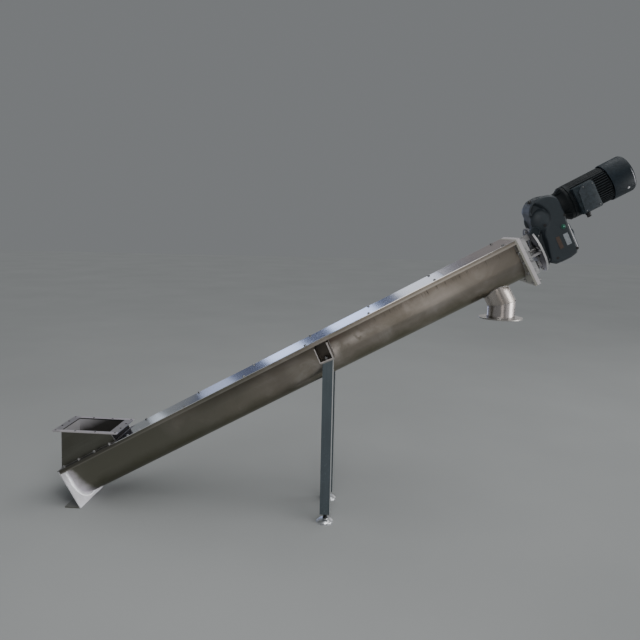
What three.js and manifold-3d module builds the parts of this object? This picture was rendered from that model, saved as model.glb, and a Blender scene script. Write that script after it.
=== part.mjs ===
// Inclined screw conveyor: stainless trough, inlet hopper, discharge spout, two legs and a geared motor.
// Millimetres, +Z up. The origin is the centre of the tail foot plate's underside.
// X runs level towards the head, and Y points away from the side that is seen.
import * as THREE from 'three';
import { mergeVertices } from 'three/addons/utils/BufferGeometryUtils.js';
import Module from 'manifold-3d';

const wasm = await Module();
wasm.setup();

// Driving dimensions
const SLOPE = 29 * Math.PI / 180;     // of the trough above the floor
const GAP = 0.3;                      // between pieces that touch
const SHEET = 3;                      // trough, cover and hopper sheet
const WIDTH = 330;                    // over the trough's flanges
const COVER_TOP = 265;                // above the lowest edge of the tail end plate, square to the trough
const TROUGH_R = 113;                 // outer radius of the round bottom
const AXIS_H = 144;                   // height of the screw's axis, square to the trough
const LIP = 25;                       // turned-down edge of the flange, from the cover's top
const TAIL_T = 6;                     // tail end plate
const TROUGH_END = 2955;              // where the trough meets its head flange

// Tail foot plate, flat on the floor
const FOOT_LENGTH = 96;
const FOOT_T = 8;
const TAIL_X = FOOT_LENGTH / 2;       // from the origin to the end plate's lower edge

// Inlet hopper: level at the top, on a plate that follows the trough
const HOPPER_TOP = 476;               // height of the flange's top above the floor
const HOPPER_TAIL = -121;             // outer face of the tail wall at its top, from the end plate's edge
const HOPPER_FOOT = -131;             // and at its foot
const HOPPER_HEAD_S = 389;            // outer face of the head wall, which is square to the trough
const HOPPER_HALF = 109;              // outer face of the near and far walls
const HOPPER_WALL = 4;
const HOPPER_FLANGE_T = 6;
const HOPPER_FLANGE_TAIL = -165;      // outer edges of the top flange, from the end plate's edge
const HOPPER_FLANGE_HEAD = 233;
const HOPPER_FLANGE_HALF = 134;
const HOPPER_BASE_START = -4;
const HOPPER_BASE_END = 410;
const HOPPER_HOLE_R = 6.5;
const HOPPER_HOLE_TAIL = -154;        // first and last row of the flange's bolt holes
const HOPPER_HOLE_HEAD = 217;
const HOPPER_HOLE_HALF = 120;

// Covers
const COVER_JOINT = 2553;

// Head flanges
const HEAD_FLANGE_T = 10;
const HEAD_PLATE_T = 18;
const HEAD_LOW = -6;                  // lower edge of both, square to the trough

// Screw
const SCREW_R = 100;
const SCREW_TUBE_R = 30;
const SCREW_TUBE_T = 5;
const SCREW_PITCH = 200;
const FLIGHT_T = 5;
const FLIGHT_START = 30;
const FLIGHT_END = 2900;
const SHAFT_R = 24;
const TAIL_BEARING_R = 62;

// Discharge spout
const SPOUT_S = 2782;                 // where its axis crosses the trough's axis
const SPOUT_R = 75;
const SPOUT_WALL = 3;
const SPOUT_ELBOW_H = -42;            // height of the mitre's centre, square to the trough
const SPOUT_DROP = 87;                // from the mitre's centre to the flange's underside
const SPOUT_FLANGE_R = 120;
const SPOUT_FLANGE_T = 6;

// Legs
const LEG_X = 1489;                   // from the end plate's lower edge
const LEG_Y = 147;
const LEG_SIDE = 60;
const LEG_WALL = 4;
const LEG_BOTTOM = 58;
const LEG_PLATE_T = 6;
const BRACKET_SLOPE = 24.5 * Math.PI / 180;   // set a little flatter than the trough
const BRACKET_X = 1444;               // lower tail corner of the bracket, from the end plate's lower edge
const BRACKET_Z = 960;                // and its height above the floor
const BRACKET_LENGTH = 86;
const BRACKET_TAIL_H = 90;            // height of the bracket's tail cheek
const BRACKET_HEAD_H = 99;            // and of its head cheek
const BRACKET_T = 6;
const BRACKET_HEAD_T = 9;
const BRACKET_FACE = 176;             // front edge of the bracket
const STEM_R = 11;
const DISC_R = 50;
const DISC_H = 25;

// Lantern between the head plate and the gearbox
const LANTERN_HALF_Y = 138;           // base plate, half width
const LANTERN_HALF_H = 100;           // base plate, half height
const LANTERN_NOTCH_Y = 98;           // bottom of the notch in its near and far sides
const LANTERN_NOTCH_H = 32;           // half height of the notch
const LANTERN_BASE_T = 28;
const LANTERN_LENGTH = 94;
const LANTERN_RING_T = 11;
const LANTERN_RING_R = 130;
const LANTERN_BORE = 58;
const RIB_T = 12;

// Gearbox, with a raised face on both sides
const GEAR_FLANGE_R = 110;
const GEAR_FLANGE_T = 16;
const GEAR_LENGTH = 170;
const GEAR_CORE_HALF = 64;            // half width of the housing behind the raised faces
const GEAR_HALF = 95;                 // half width over the raised faces
const GEAR_RIM_HALF = 90;
const GEAR_COVER_HALF = 78;
const GEAR_COVER_T = 9;

// Motor
const MOTOR_H = 298;                  // height of the motor's axis, square to the trough
const ADAPTER_LENGTH = 58;
const ADAPTER_NECK_R = 76;
const ADAPTER_R = 94;
const MOTOR_R = 96;                   // over the cooling fins
const MOTOR_LENGTH = 217;
const COWL_R = 101;
const COWL_LENGTH = 122;
const BOX_OFFSET = 15;                // terminal box, from the motor's gearbox end
const BOX_LENGTH = 108;
const BOX_LOW = -84;                  // underside of the terminal box, from the motor's axis
const BOX_HEIGHT = 148;
const BOX_FACE = 125;                 // joint between the box and its lid
const BOX_BACK = 62;
const LID_T = 10;
const GLAND_R = 14;
const GLAND_LENGTH = 24;

// Finishes
const finish = (color, metalness, roughness) => new THREE.MeshStandardMaterial({ color, metalness, roughness });
const STEEL = finish(0x8f8a84, 0.9, 0.45);
const BRIGHT = finish(0xc8ccd0, 0.95, 0.25);
const SLATE = finish(0x454e55, 0.8, 0.45);
const DARK = finish(0x2b3133, 0.3, 0.5);
const CAST = finish(0x9a9896, 0.6, 0.55);

// Solids: geometry in, one closed body out
function solid(geometry) {
  const bare = geometry.clone();
  bare.deleteAttribute('normal');
  bare.deleteAttribute('uv');
  const merged = mergeVertices(bare, 1e-4);
  return new wasm.Manifold(new wasm.Mesh({
    numProp: 3,
    vertProperties: new Float32Array(merged.attributes.position.array),
    triVerts: new Uint32Array(merged.index.array),
  }));
}

function geometryOf(body) {
  const mesh = body.getMesh();
  const geometry = new THREE.BufferGeometry();
  geometry.setAttribute('position', new THREE.BufferAttribute(new Float32Array(mesh.vertProperties), 3));
  geometry.setIndex(new THREE.BufferAttribute(new Uint32Array(mesh.triVerts), 1));
  return geometry;
}

// Radius of a hole with n flat sides that clears a round piece of radius r
const bore = (r, n) => (r + GAP) / Math.cos(Math.PI / n);

// Outline of points extruded along Y from y0 to y1; the outline is in X and Z
function alongY(points, y0, y1) {
  const shape = new THREE.Shape(points.map(([x, z]) => new THREE.Vector2(x, z)));
  const geometry = new THREE.ExtrudeGeometry(shape, { depth: y1 - y0, bevelEnabled: false });
  geometry.rotateX(Math.PI / 2);
  geometry.translate(0, y1, 0);
  return geometry;
}

// Outline in Y and Z extruded along X from x0 to x1
function alongX(points, x0, x1) {
  const shape = new THREE.Shape(points.map(([y, z]) => new THREE.Vector2(y, z)));
  const geometry = new THREE.ExtrudeGeometry(shape, { depth: x1 - x0, bevelEnabled: false });
  geometry.rotateX(Math.PI / 2);
  geometry.rotateZ(Math.PI / 2);
  geometry.translate(x0, 0, 0);
  return geometry;
}

function block(x0, x1, y0, y1, z0, z1) {
  const geometry = new THREE.BoxGeometry(x1 - x0, y1 - y0, z1 - z0);
  geometry.translate((x0 + x1) / 2, (y0 + y1) / 2, (z0 + z1) / 2);
  return geometry;
}

// Turned piece about the X axis at height h; the profile is [x, radius] pairs
function turnedX(profile, h, sides) {
  const points = profile.map(([x, r]) => new THREE.Vector2(r, x));
  const geometry = new THREE.LatheGeometry(points, sides);
  geometry.rotateZ(-Math.PI / 2);
  geometry.translate(0, 0, h);
  return geometry;
}

// Turned piece about a vertical axis at x, y; the profile is [z, radius] pairs
function turnedZ(profile, x, y, sides) {
  const points = profile.map(([z, r]) => new THREE.Vector2(r, z));
  const geometry = new THREE.LatheGeometry(points, sides);
  geometry.rotateX(Math.PI / 2);
  geometry.translate(x, y, 0);
  return geometry;
}

const rodX = (x0, x1, r, h, sides) => turnedX([[x0, 0], [x0, r], [x1, r], [x1, 0]], h, sides);
const rodZ = (z0, z1, r, x, y, sides) => turnedZ([[z0, 0], [z0, r], [z1, r], [z1, 0]], x, y, sides);

// Points of an arc in the plane, angles in degrees
function arc(cx, cy, r, from, to, steps) {
  return Array.from({ length: steps + 1 }, (_, i) => {
    const a = THREE.MathUtils.degToRad(from + (to - from) * i / steps);
    return [cx + r * Math.cos(a), cy + r * Math.sin(a)];
  });
}

const part = new THREE.Group();

// Everything that follows the trough is in this group: X along the axis, Z square to it
const inclined = new THREE.Group();
inclined.position.set(TAIL_X, 0, 0);
inclined.rotation.y = -SLOPE;
part.add(inclined);

// Level pieces that are measured from the end plate's lower edge
const level = new THREE.Group();
level.position.set(TAIL_X, 0, 0);
part.add(level);

function add(group, name, geometry, material) {
  const mesh = new THREE.Mesh(geometry, material);
  mesh.name = name;
  group.add(mesh);
}

// A solid given level, moved into the inclined frame by turning it by the slope
function tilted(geometry) {
  const turned = geometry.clone();
  turned.rotateY(SLOPE);
  return turned;
}

// Trough
const half = WIDTH / 2;
const flangeTop = COVER_TOP - SHEET - GAP;
const lipBottom = COVER_TOP - LIP;
const innerR = TROUGH_R - SHEET;
const troughOutline = [
  [-half, lipBottom], [-half, flangeTop], [-innerR, flangeTop],
  ...arc(0, AXIS_H, innerR, 180, 360, 24),
  [innerR, flangeTop], [half, flangeTop], [half, lipBottom], [half - SHEET, lipBottom],
  [half - SHEET, flangeTop - SHEET], [TROUGH_R, flangeTop - SHEET],
  ...arc(0, AXIS_H, TROUGH_R, 360, 180, 24),
  [-TROUGH_R, flangeTop - SHEET], [-half + SHEET, flangeTop - SHEET], [-half + SHEET, lipBottom],
];
const troughStart = TAIL_T + GAP;
const spoutSides = 32;
const spoutCut = solid(rodZ(-20, AXIS_H, SPOUT_R - SPOUT_WALL, SPOUT_S, 0, spoutSides));
const troughBody = solid(alongX(troughOutline, troughStart, TROUGH_END)).subtract(spoutCut);
add(inclined, 'trough', geometryOf(troughBody), STEEL);

// Tail end plate with the hole for the stub shaft
const shaftSides = 24;
const shaftHole = bore(SHAFT_R, shaftSides);
function endPlate(s0, s1, low, high) {
  const plate = solid(block(s0, s1, -half, half, low, high));
  return geometryOf(plate.subtract(solid(rodX(s0 - 1, s1 + 1, shaftHole, AXIS_H, shaftSides))));
}
add(inclined, 'tail_end_plate', endPlate(0, TAIL_T, 0, flangeTop), STEEL);

// Tail foot plate, mitred to the end plate's lean
const mitre = FOOT_T * Math.tan(SLOPE);
const footGap = GAP / Math.cos(SLOPE);
add(level, 'tail_foot_plate', alongY([
  [-FOOT_LENGTH, 0], [-footGap, 0], [-footGap - mitre, FOOT_T], [-FOOT_LENGTH, FOOT_T],
], -half, half), STEEL);

// Tail bearing outside the end plate
const bearingFace = -GAP;
add(inclined, 'tail_bearing', turnedX([
  [bearingFace - 34, shaftHole], [bearingFace - 34, 40], [bearingFace - 16, 44],
  [bearingFace - 12, TAIL_BEARING_R], [bearingFace, TAIL_BEARING_R], [bearingFace, shaftHole],
  [bearingFace - 34, shaftHole],
], AXIS_H, shaftSides), CAST);

// Covers
add(inclined, 'cover_lower', block(HOPPER_BASE_END + 1, COVER_JOINT, -half, half,
  COVER_TOP - SHEET, COVER_TOP), STEEL);
add(inclined, 'cover_upper', block(COVER_JOINT + 1, TROUGH_END, -half, half,
  COVER_TOP - SHEET, COVER_TOP), STEEL);

// Head flange of the trough, and the end plate bolted to it
const headPlateStart = TROUGH_END + GAP + HEAD_FLANGE_T + GAP;
const headPlateEnd = headPlateStart + HEAD_PLATE_T;
const flangeStart = TROUGH_END + GAP;
const openingOutline = [
  [-innerR, flangeTop - 12], ...arc(0, AXIS_H, innerR, 180, 360, 24), [innerR, flangeTop - 12],
];
const headFlange = solid(block(flangeStart, flangeStart + HEAD_FLANGE_T, -half, half, HEAD_LOW, COVER_TOP))
  .subtract(solid(alongX(openingOutline, flangeStart - 1, flangeStart + HEAD_FLANGE_T + 1)));
add(inclined, 'head_trough_flange', geometryOf(headFlange), STEEL);
add(inclined, 'head_end_plate', endPlate(headPlateStart, headPlateEnd, HEAD_LOW, COVER_TOP), STEEL);

// Hopper base plate with its opening
const wallInner = HOPPER_HALF - HOPPER_WALL;
const baseTop = COVER_TOP;
const openStart = 12;
const openEnd = HOPPER_HEAD_S - HOPPER_WALL;
const baseBody = solid(block(HOPPER_BASE_START, HOPPER_BASE_END, -half, half, COVER_TOP - SHEET, baseTop))
  .subtract(solid(block(openStart, openEnd, -wallInner + GAP, wallInner - GAP, COVER_TOP - 20, COVER_TOP + 20)));
add(inclined, 'hopper_base_plate', geometryOf(baseBody), STEEL);

// Hopper walls: near and far follow the slope at the bottom and are level at the top
const wallTop = HOPPER_TOP - HOPPER_FLANGE_T - GAP;
const baseLine = (x) => (baseTop + GAP) / Math.cos(SLOPE) + x * Math.tan(SLOPE);
const headWallX = (s, z) => (s - z * Math.sin(SLOPE)) / Math.cos(SLOPE);
// Level x where the head wall's inner or outer face meets the base plate
const onBase = (s) => s * Math.cos(SLOPE) - (baseTop + GAP) * Math.sin(SLOPE);
const sideWall = [
  [HOPPER_FOOT, baseLine(HOPPER_FOOT)],
  [onBase(HOPPER_HEAD_S), baseLine(onBase(HOPPER_HEAD_S))],
  [headWallX(HOPPER_HEAD_S, wallTop), wallTop],
  [HOPPER_TAIL, wallTop],
];
add(level, 'hopper_near_wall', alongY(sideWall, -HOPPER_HALF, -wallInner), STEEL);
add(level, 'hopper_far_wall', alongY(sideWall, wallInner, HOPPER_HALF), STEEL);
add(level, 'hopper_tail_wall', alongY([
  [HOPPER_FOOT, baseLine(HOPPER_FOOT)],
  [HOPPER_FOOT + HOPPER_WALL, baseLine(HOPPER_FOOT + HOPPER_WALL)],
  [HOPPER_TAIL + HOPPER_WALL, wallTop], [HOPPER_TAIL, wallTop],
], -wallInner + GAP, wallInner - GAP), STEEL);
const headInner = HOPPER_HEAD_S - HOPPER_WALL;
add(level, 'hopper_head_wall', alongY([
  [onBase(headInner), baseLine(onBase(headInner))],
  [onBase(HOPPER_HEAD_S), baseLine(onBase(HOPPER_HEAD_S))],
  [headWallX(HOPPER_HEAD_S, wallTop), wallTop],
  [headWallX(headInner, wallTop), wallTop],
], -wallInner + GAP, wallInner - GAP), STEEL);

// Hopper top flange with twelve bolt holes, four along each side
const openTail = HOPPER_TAIL + HOPPER_WALL;
const openHead = headWallX(headInner, wallTop);
let hopperFlange = solid(block(HOPPER_FLANGE_TAIL, HOPPER_FLANGE_HEAD, -HOPPER_FLANGE_HALF, HOPPER_FLANGE_HALF,
  HOPPER_TOP - HOPPER_FLANGE_T, HOPPER_TOP))
  .subtract(solid(block(openTail, openHead, -wallInner, wallInner, HOPPER_TOP - 20, HOPPER_TOP + 20)));
for (let i = 0; i < 4; i += 1) {
  for (let j = 0; j < 4; j += 1) {
    if (i % 3 !== 0 && j % 3 !== 0) continue;
    const x = THREE.MathUtils.lerp(HOPPER_HOLE_TAIL, HOPPER_HOLE_HEAD, i / 3);
    const y = THREE.MathUtils.lerp(-HOPPER_HOLE_HALF, HOPPER_HOLE_HALF, j / 3);
    hopperFlange = hopperFlange.subtract(
      solid(rodZ(HOPPER_TOP - 20, HOPPER_TOP + 20, HOPPER_HOLE_R, x, y, 16)));
  }
}
add(level, 'hopper_top_flange', geometryOf(hopperFlange), STEEL);

// Screw: tube, flight, tail stub and drive shaft
const tubeStart = 22;
const tubeEnd = TROUGH_END - 20;
const tubeInner = SCREW_TUBE_R - SCREW_TUBE_T;
add(inclined, 'screw_tube', turnedX([
  [tubeStart, tubeInner], [tubeStart, SCREW_TUBE_R], [tubeEnd, SCREW_TUBE_R], [tubeEnd, tubeInner],
  [tubeStart, tubeInner],
], AXIS_H, shaftSides), STEEL);

function flight() {
  const perTurn = 20;
  const steps = Math.round((FLIGHT_END - FLIGHT_START) / SCREW_PITCH * perTurn);
  const inner = (SCREW_TUBE_R + GAP) / Math.cos(Math.PI / perTurn);
  const corners = [[inner, 0], [SCREW_R, 0], [SCREW_R, FLIGHT_T], [inner, FLIGHT_T]];
  const vertices = [];
  const faces = [];
  for (let i = 0; i <= steps; i += 1) {
    const angle = i * 2 * Math.PI / perTurn;
    const s = FLIGHT_START + i * SCREW_PITCH / perTurn;
    for (const [r, offset] of corners) {
      vertices.push(s + offset, r * Math.cos(angle), AXIS_H + r * Math.sin(angle));
    }
  }
  for (let i = 0; i < steps; i += 1) {
    for (let k = 0; k < 4; k += 1) {
      const a = i * 4 + k;
      const b = i * 4 + (k + 1) % 4;
      faces.push(a, a + 4, b, b, a + 4, b + 4);
    }
  }
  const last = steps * 4;
  faces.push(0, 1, 2, 0, 2, 3, last, last + 2, last + 1, last, last + 3, last + 2);
  const geometry = new THREE.BufferGeometry();
  geometry.setAttribute('position', new THREE.BufferAttribute(new Float32Array(vertices), 3));
  geometry.setIndex(faces);
  return geometry;
}
add(inclined, 'screw_flight', flight(), STEEL);

const stubR = tubeInner * Math.cos(Math.PI / shaftSides) - GAP;
add(inclined, 'tail_stub_shaft', turnedX([
  [-30, 0], [-30, SHAFT_R], [tubeStart - GAP, SHAFT_R], [tubeStart - GAP, stubR],
  [tubeStart + 80, stubR], [tubeStart + 80, 0],
], AXIS_H, shaftSides), BRIGHT);

const lanternStart = headPlateEnd + GAP;
const ringStart = lanternStart + LANTERN_LENGTH - LANTERN_RING_T;
const gearStart = lanternStart + LANTERN_LENGTH + GAP;
add(inclined, 'drive_shaft', turnedX([
  [tubeEnd - 80, 0], [tubeEnd - 80, stubR], [tubeEnd + GAP, stubR], [tubeEnd + GAP, SHAFT_R],
  [gearStart + 10, SHAFT_R], [gearStart + 10, 0],
], AXIS_H, shaftSides), BRIGHT);

// Spout: a pipe square to the trough, mitred to an upright pipe with a flange
const spoutInner = SPOUT_R - SPOUT_WALL;
const mitreX = SPOUT_S * Math.cos(SLOPE) - SPOUT_ELBOW_H * Math.sin(SLOPE);
const mitreZ = SPOUT_S * Math.sin(SLOPE) + SPOUT_ELBOW_H * Math.cos(SLOPE);
// Half space below the mitre, in the trough's frame; the mitre leans by half the slope
function mitreCut(above) {
  const size = 400;
  const z0 = above ? GAP / 2 : -size;
  const z1 = above ? size : -GAP / 2;
  const geometry = block(-size, size, -size, size, z0, z1);
  geometry.rotateY(SLOPE / 2);
  geometry.translate(SPOUT_S, 0, SPOUT_ELBOW_H);
  return solid(geometry);
}
const pipe = (z0, z1, x) => solid(turnedZ([
  [z0, spoutInner], [z0, SPOUT_R], [z1, SPOUT_R], [z1, spoutInner], [z0, spoutInner],
], x, 0, spoutSides));
const troughSweep = [
  [-bore(TROUGH_R, 48), AXIS_H + 200], ...arc(0, AXIS_H, bore(TROUGH_R, 48), 180, 360, 24),
  [bore(TROUGH_R, 48), AXIS_H + 200],
];
const upperPipe = pipe(-200, AXIS_H, SPOUT_S)
  .subtract(solid(alongX(troughSweep, SPOUT_S - 150, SPOUT_S + 150)))
  .intersect(mitreCut(true));
add(inclined, 'spout_upper_pipe', geometryOf(upperPipe), BRIGHT);

const spoutBottom = mitreZ - SPOUT_DROP;
const lowerPipe = solid(tilted(geometryOf(pipe(spoutBottom + SPOUT_FLANGE_T + GAP, mitreZ + 150, mitreX))))
  .intersect(mitreCut(false));
add(inclined, 'spout_lower_pipe', geometryOf(lowerPipe), BRIGHT);
add(level, 'spout_flange', turnedZ([
  [spoutBottom, spoutInner], [spoutBottom, SPOUT_FLANGE_R], [spoutBottom + SPOUT_FLANGE_T, SPOUT_FLANGE_R],
  [spoutBottom + SPOUT_FLANGE_T, spoutInner], [spoutBottom, spoutInner],
], mitreX, 0, 48), BRIGHT);

// Legs, near and far. The brackets and the legs' top plates share a frame of their own
const bracketFrame = new THREE.Group();
bracketFrame.position.set(TAIL_X + BRACKET_X, 0, BRACKET_Z);
bracketFrame.rotation.y = -BRACKET_SLOPE;
part.add(bracketFrame);

const legHalf = LEG_SIDE / 2;
const headCheek = BRACKET_LENGTH - BRACKET_HEAD_T;
const bracketOutline = [
  [0, 0], [BRACKET_LENGTH, 0], [BRACKET_LENGTH, BRACKET_HEAD_H], [headCheek, BRACKET_HEAD_H],
  [headCheek, BRACKET_T], [BRACKET_T, BRACKET_T], [BRACKET_T, BRACKET_TAIL_H], [0, BRACKET_TAIL_H],
];
const legTop = (x) => BRACKET_Z + (x - BRACKET_X) * Math.tan(BRACKET_SLOPE)
  - (LEG_PLATE_T + 2 * GAP) / Math.cos(BRACKET_SLOPE);
for (const [side, sign] of [['near', -1], ['far', 1]]) {
  const wallSide = sign * (TROUGH_R + GAP);
  const face = sign * BRACKET_FACE;
  const [y0, y1] = [Math.min(wallSide, face), Math.max(wallSide, face)];
  add(bracketFrame, `${side}_bracket`, alongY(bracketOutline, y0, y1), STEEL);
  add(bracketFrame, `${side}_leg_top_plate`, block(4, BRACKET_LENGTH, y0, y1, -GAP - LEG_PLATE_T, -GAP), STEEL);

  // Square tube with its top cut to the bracket's slope
  const y = sign * LEG_Y;
  const tube = solid(alongY([
    [LEG_X - legHalf, LEG_BOTTOM], [LEG_X + legHalf, LEG_BOTTOM],
    [LEG_X + legHalf, legTop(LEG_X + legHalf)], [LEG_X - legHalf, legTop(LEG_X - legHalf)],
  ], y - legHalf, y + legHalf));
  const core = solid(block(LEG_X - legHalf + LEG_WALL, LEG_X + legHalf - LEG_WALL,
    y - legHalf + LEG_WALL, y + legHalf - LEG_WALL, LEG_BOTTOM + LEG_WALL, BRACKET_Z + LEG_SIDE));
  const stemHole = solid(rodZ(LEG_BOTTOM - 10, LEG_BOTTOM + 20, bore(STEM_R, 16), LEG_X, y, 16));
  add(level, `${side}_leg`, geometryOf(tube.subtract(core).subtract(stemHole)), SLATE);
  add(level, `${side}_foot_stem`, rodZ(DISC_H + GAP, LEG_BOTTOM + 40, STEM_R, LEG_X, y, 16), BRIGHT);
  add(level, `${side}_foot_disc`, turnedZ([
    [0, 0], [0, DISC_R], [6, DISC_R], [10, DISC_R * 0.92], [18, DISC_R * 0.62], [DISC_H - 3, DISC_R * 0.44],
    [DISC_H, DISC_R * 0.36], [DISC_H, 0],
  ], LEG_X, y, 32), BRIGHT);
}

// Lantern: base plate notched at its near and far sides, four ribs and a ring
const baseEnd = lanternStart + LANTERN_BASE_T;
const farHalf = [
  [LANTERN_HALF_Y, -LANTERN_HALF_H], [LANTERN_HALF_Y, -LANTERN_NOTCH_H], [LANTERN_NOTCH_Y, -LANTERN_NOTCH_H],
  [LANTERN_NOTCH_Y, LANTERN_NOTCH_H], [LANTERN_HALF_Y, LANTERN_NOTCH_H], [LANTERN_HALF_Y, LANTERN_HALF_H],
];
const nearHalf = farHalf.map(([y, h]) => [-y, -h]);
const baseOutline = [...farHalf, ...nearHalf].map(([y, h]) => [y, AXIS_H + h]);
const base = solid(alongX(baseOutline, lanternStart, baseEnd))
  .subtract(solid(rodX(lanternStart - 1, baseEnd + 1, LANTERN_BORE, AXIS_H, 24)));
add(inclined, 'lantern_base_plate', geometryOf(base), CAST);
add(inclined, 'lantern_ring', turnedX([
  [ringStart, LANTERN_BORE], [ringStart, LANTERN_RING_R], [gearStart - GAP, LANTERN_RING_R],
  [gearStart - GAP, LANTERN_BORE], [ringStart, LANTERN_BORE],
], AXIS_H, 48), CAST);
const ribInner = LANTERN_BORE + 6;
const ribOuter = LANTERN_NOTCH_Y - GAP;
const ribRise = RIB_T;                // the near and far ribs sit this much below the axis
['far', 'top', 'near', 'bottom'].forEach((name, i) => {
  const onSide = name === 'near' || name === 'far';
  const rib = block(baseEnd + GAP, ringStart - GAP, ribInner, ribOuter, -RIB_T / 2, RIB_T / 2);
  rib.rotateX(i * Math.PI / 2);
  rib.translate(0, 0, AXIS_H - (onSide ? ribRise : 0));
  add(inclined, `lantern_rib_${name}`, rib, CAST);
});

// Gearbox: output flange, housing with its raised faces, and the cover on the motor's side
const flangeEnd = gearStart + GEAR_FLANGE_T;
const gearFlange = turnedX([
  [gearStart, 0], [gearStart, GEAR_FLANGE_R], [flangeEnd, GEAR_FLANGE_R], [flangeEnd, 0],
], AXIS_H, 48);
const flangeBore = solid(rodX(gearStart - 1, gearStart + 12, shaftHole, AXIS_H, shaftSides));
add(inclined, 'gearbox_flange', geometryOf(solid(gearFlange).subtract(flangeBore)), DARK);

// Outlines from the flange's rear face, in the plane of the trough's side
const housingStart = flangeEnd + GAP;
const fromHousing = (points) => points.map(([s, h]) => [housingStart + s, h]);
const HOUSING_CORE = [
  [0, 66], [8, 52], [28, 40], [107, 38], [148, 46], [158, 66], [163, 200], [167, 242], [170, 258], [170, 340],
  [164, 356], [150, 372], [132, 383], [112, 388], [56, 388], [32, 378], [8, 354], [6, 268], [0, 250],
];
const RAISED_FACE = [
  [6, 54], [28, 38], [67, 35], [107, 35], [144, 43], [154, 56], [156, 68], [161, 200], [166, 242], [169, 262],
  [169, 338], [165, 357], [152, 375], [135, 386], [115, 392], [92, 394], [62, 392], [50, 386], [66, 369],
  [83, 345], [91, 326], [95, 312], [74, 316], [48, 326], [24, 327], [11, 308], [12, 282], [22, 250], [28, 209],
  [26, 168], [14, 114], [6, 70],
];
const RIM = [
  [8, 330], [8, 354], [22, 374], [40, 388], [62, 397], [92, 397], [100, 391], [92, 385], [62, 385], [44, 380],
  [26, 366], [15, 351], [15, 330],
];
const housingEnd = housingStart + GEAR_LENGTH;
const housingBody = solid(alongY(fromHousing(HOUSING_CORE), -GEAR_CORE_HALF, GEAR_CORE_HALF))
  .add(solid(alongY(fromHousing(RAISED_FACE), -GEAR_HALF, GEAR_HALF)))
  .add(solid(alongY(fromHousing(RIM), -GEAR_RIM_HALF, GEAR_CORE_HALF)));
add(inclined, 'gearbox_housing', geometryOf(housingBody), DARK);
const COVER_SIDE = [[158, 66], [163, 200]];
const coverOutline = [
  ...COVER_SIDE.map(([s, h]) => [s + GAP, h]),
  ...COVER_SIDE.map(([s, h]) => [s + GAP + GEAR_COVER_T, h]).reverse(),
];
add(inclined, 'gearbox_cover', alongY(fromHousing(coverOutline), -GEAR_COVER_HALF, GEAR_COVER_HALF), DARK);

// Motor: adapter, body, fan cowl and terminal box
const motorSides = 40;
const adapterStart = housingEnd + GAP;
const adapterEnd = adapterStart + ADAPTER_LENGTH;
add(inclined, 'motor_adapter', turnedX([
  [adapterStart, 0], [adapterStart, ADAPTER_NECK_R], [adapterStart + 14, ADAPTER_NECK_R],
  [adapterStart + 38, ADAPTER_R - 6], [adapterStart + 42, ADAPTER_R], [adapterEnd, ADAPTER_R], [adapterEnd, 0],
], MOTOR_H, motorSides), DARK);
const motorStart = adapterEnd + GAP;
const motorEnd = motorStart + MOTOR_LENGTH;
add(inclined, 'motor_body', rodX(motorStart, motorEnd, MOTOR_R, MOTOR_H, motorSides), DARK);
const cowlStart = motorEnd + GAP;
add(inclined, 'motor_fan_cowl', turnedX([
  [cowlStart, 0], [cowlStart, COWL_R - 3], [cowlStart + 34, COWL_R - 2], [cowlStart + 38, COWL_R],
  [cowlStart + COWL_LENGTH - 14, COWL_R], [cowlStart + COWL_LENGTH - 4, COWL_R - 6],
  [cowlStart + COWL_LENGTH, COWL_R - 16], [cowlStart + COWL_LENGTH, 0],
], MOTOR_H, motorSides), DARK);
const boxStart = motorStart + BOX_OFFSET;
const boxEnd = boxStart + BOX_LENGTH;
const boxLow = MOTOR_H + BOX_LOW;
const boxBody = solid(block(boxStart, boxEnd, -BOX_FACE, -BOX_BACK, boxLow, boxLow + BOX_HEIGHT))
  .subtract(solid(rodX(boxStart - 1, boxEnd + 1, bore(MOTOR_R, motorSides), MOTOR_H, motorSides)));
add(inclined, 'terminal_box', geometryOf(boxBody), DARK);
const boxHigh = boxLow + BOX_HEIGHT;
add(inclined, 'terminal_box_lid', alongY([
  [boxStart + 8, boxLow + 4], [boxEnd - 14, boxLow + 4], [boxEnd - 5, boxLow + 14], [boxEnd - 2, boxHigh - 14],
  [boxEnd - 12, boxHigh - 3], [boxStart + 44, boxHigh - 3], [boxStart + 20, boxHigh - 26],
], -BOX_FACE - GAP - LID_T, -BOX_FACE - GAP), DARK);
add(inclined, 'cable_gland', turnedZ([
  [boxLow - GAP - GLAND_LENGTH, 0], [boxLow - GAP - GLAND_LENGTH, GLAND_R * 0.8],
  [boxLow - GAP - 9, GLAND_R * 0.8], [boxLow - GAP - 9, GLAND_R], [boxLow - GAP, GLAND_R], [boxLow - GAP, 0],
], boxStart + 26, -BOX_FACE + GLAND_R + 3, 16), DARK);

export default part;
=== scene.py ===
"""Inclined screw conveyor: finishes, fasteners, welds and the gearmotor's fine shapes over the solids."""
import math

import bmesh
import bpy
from mathutils import Matrix, Vector, noise


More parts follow.
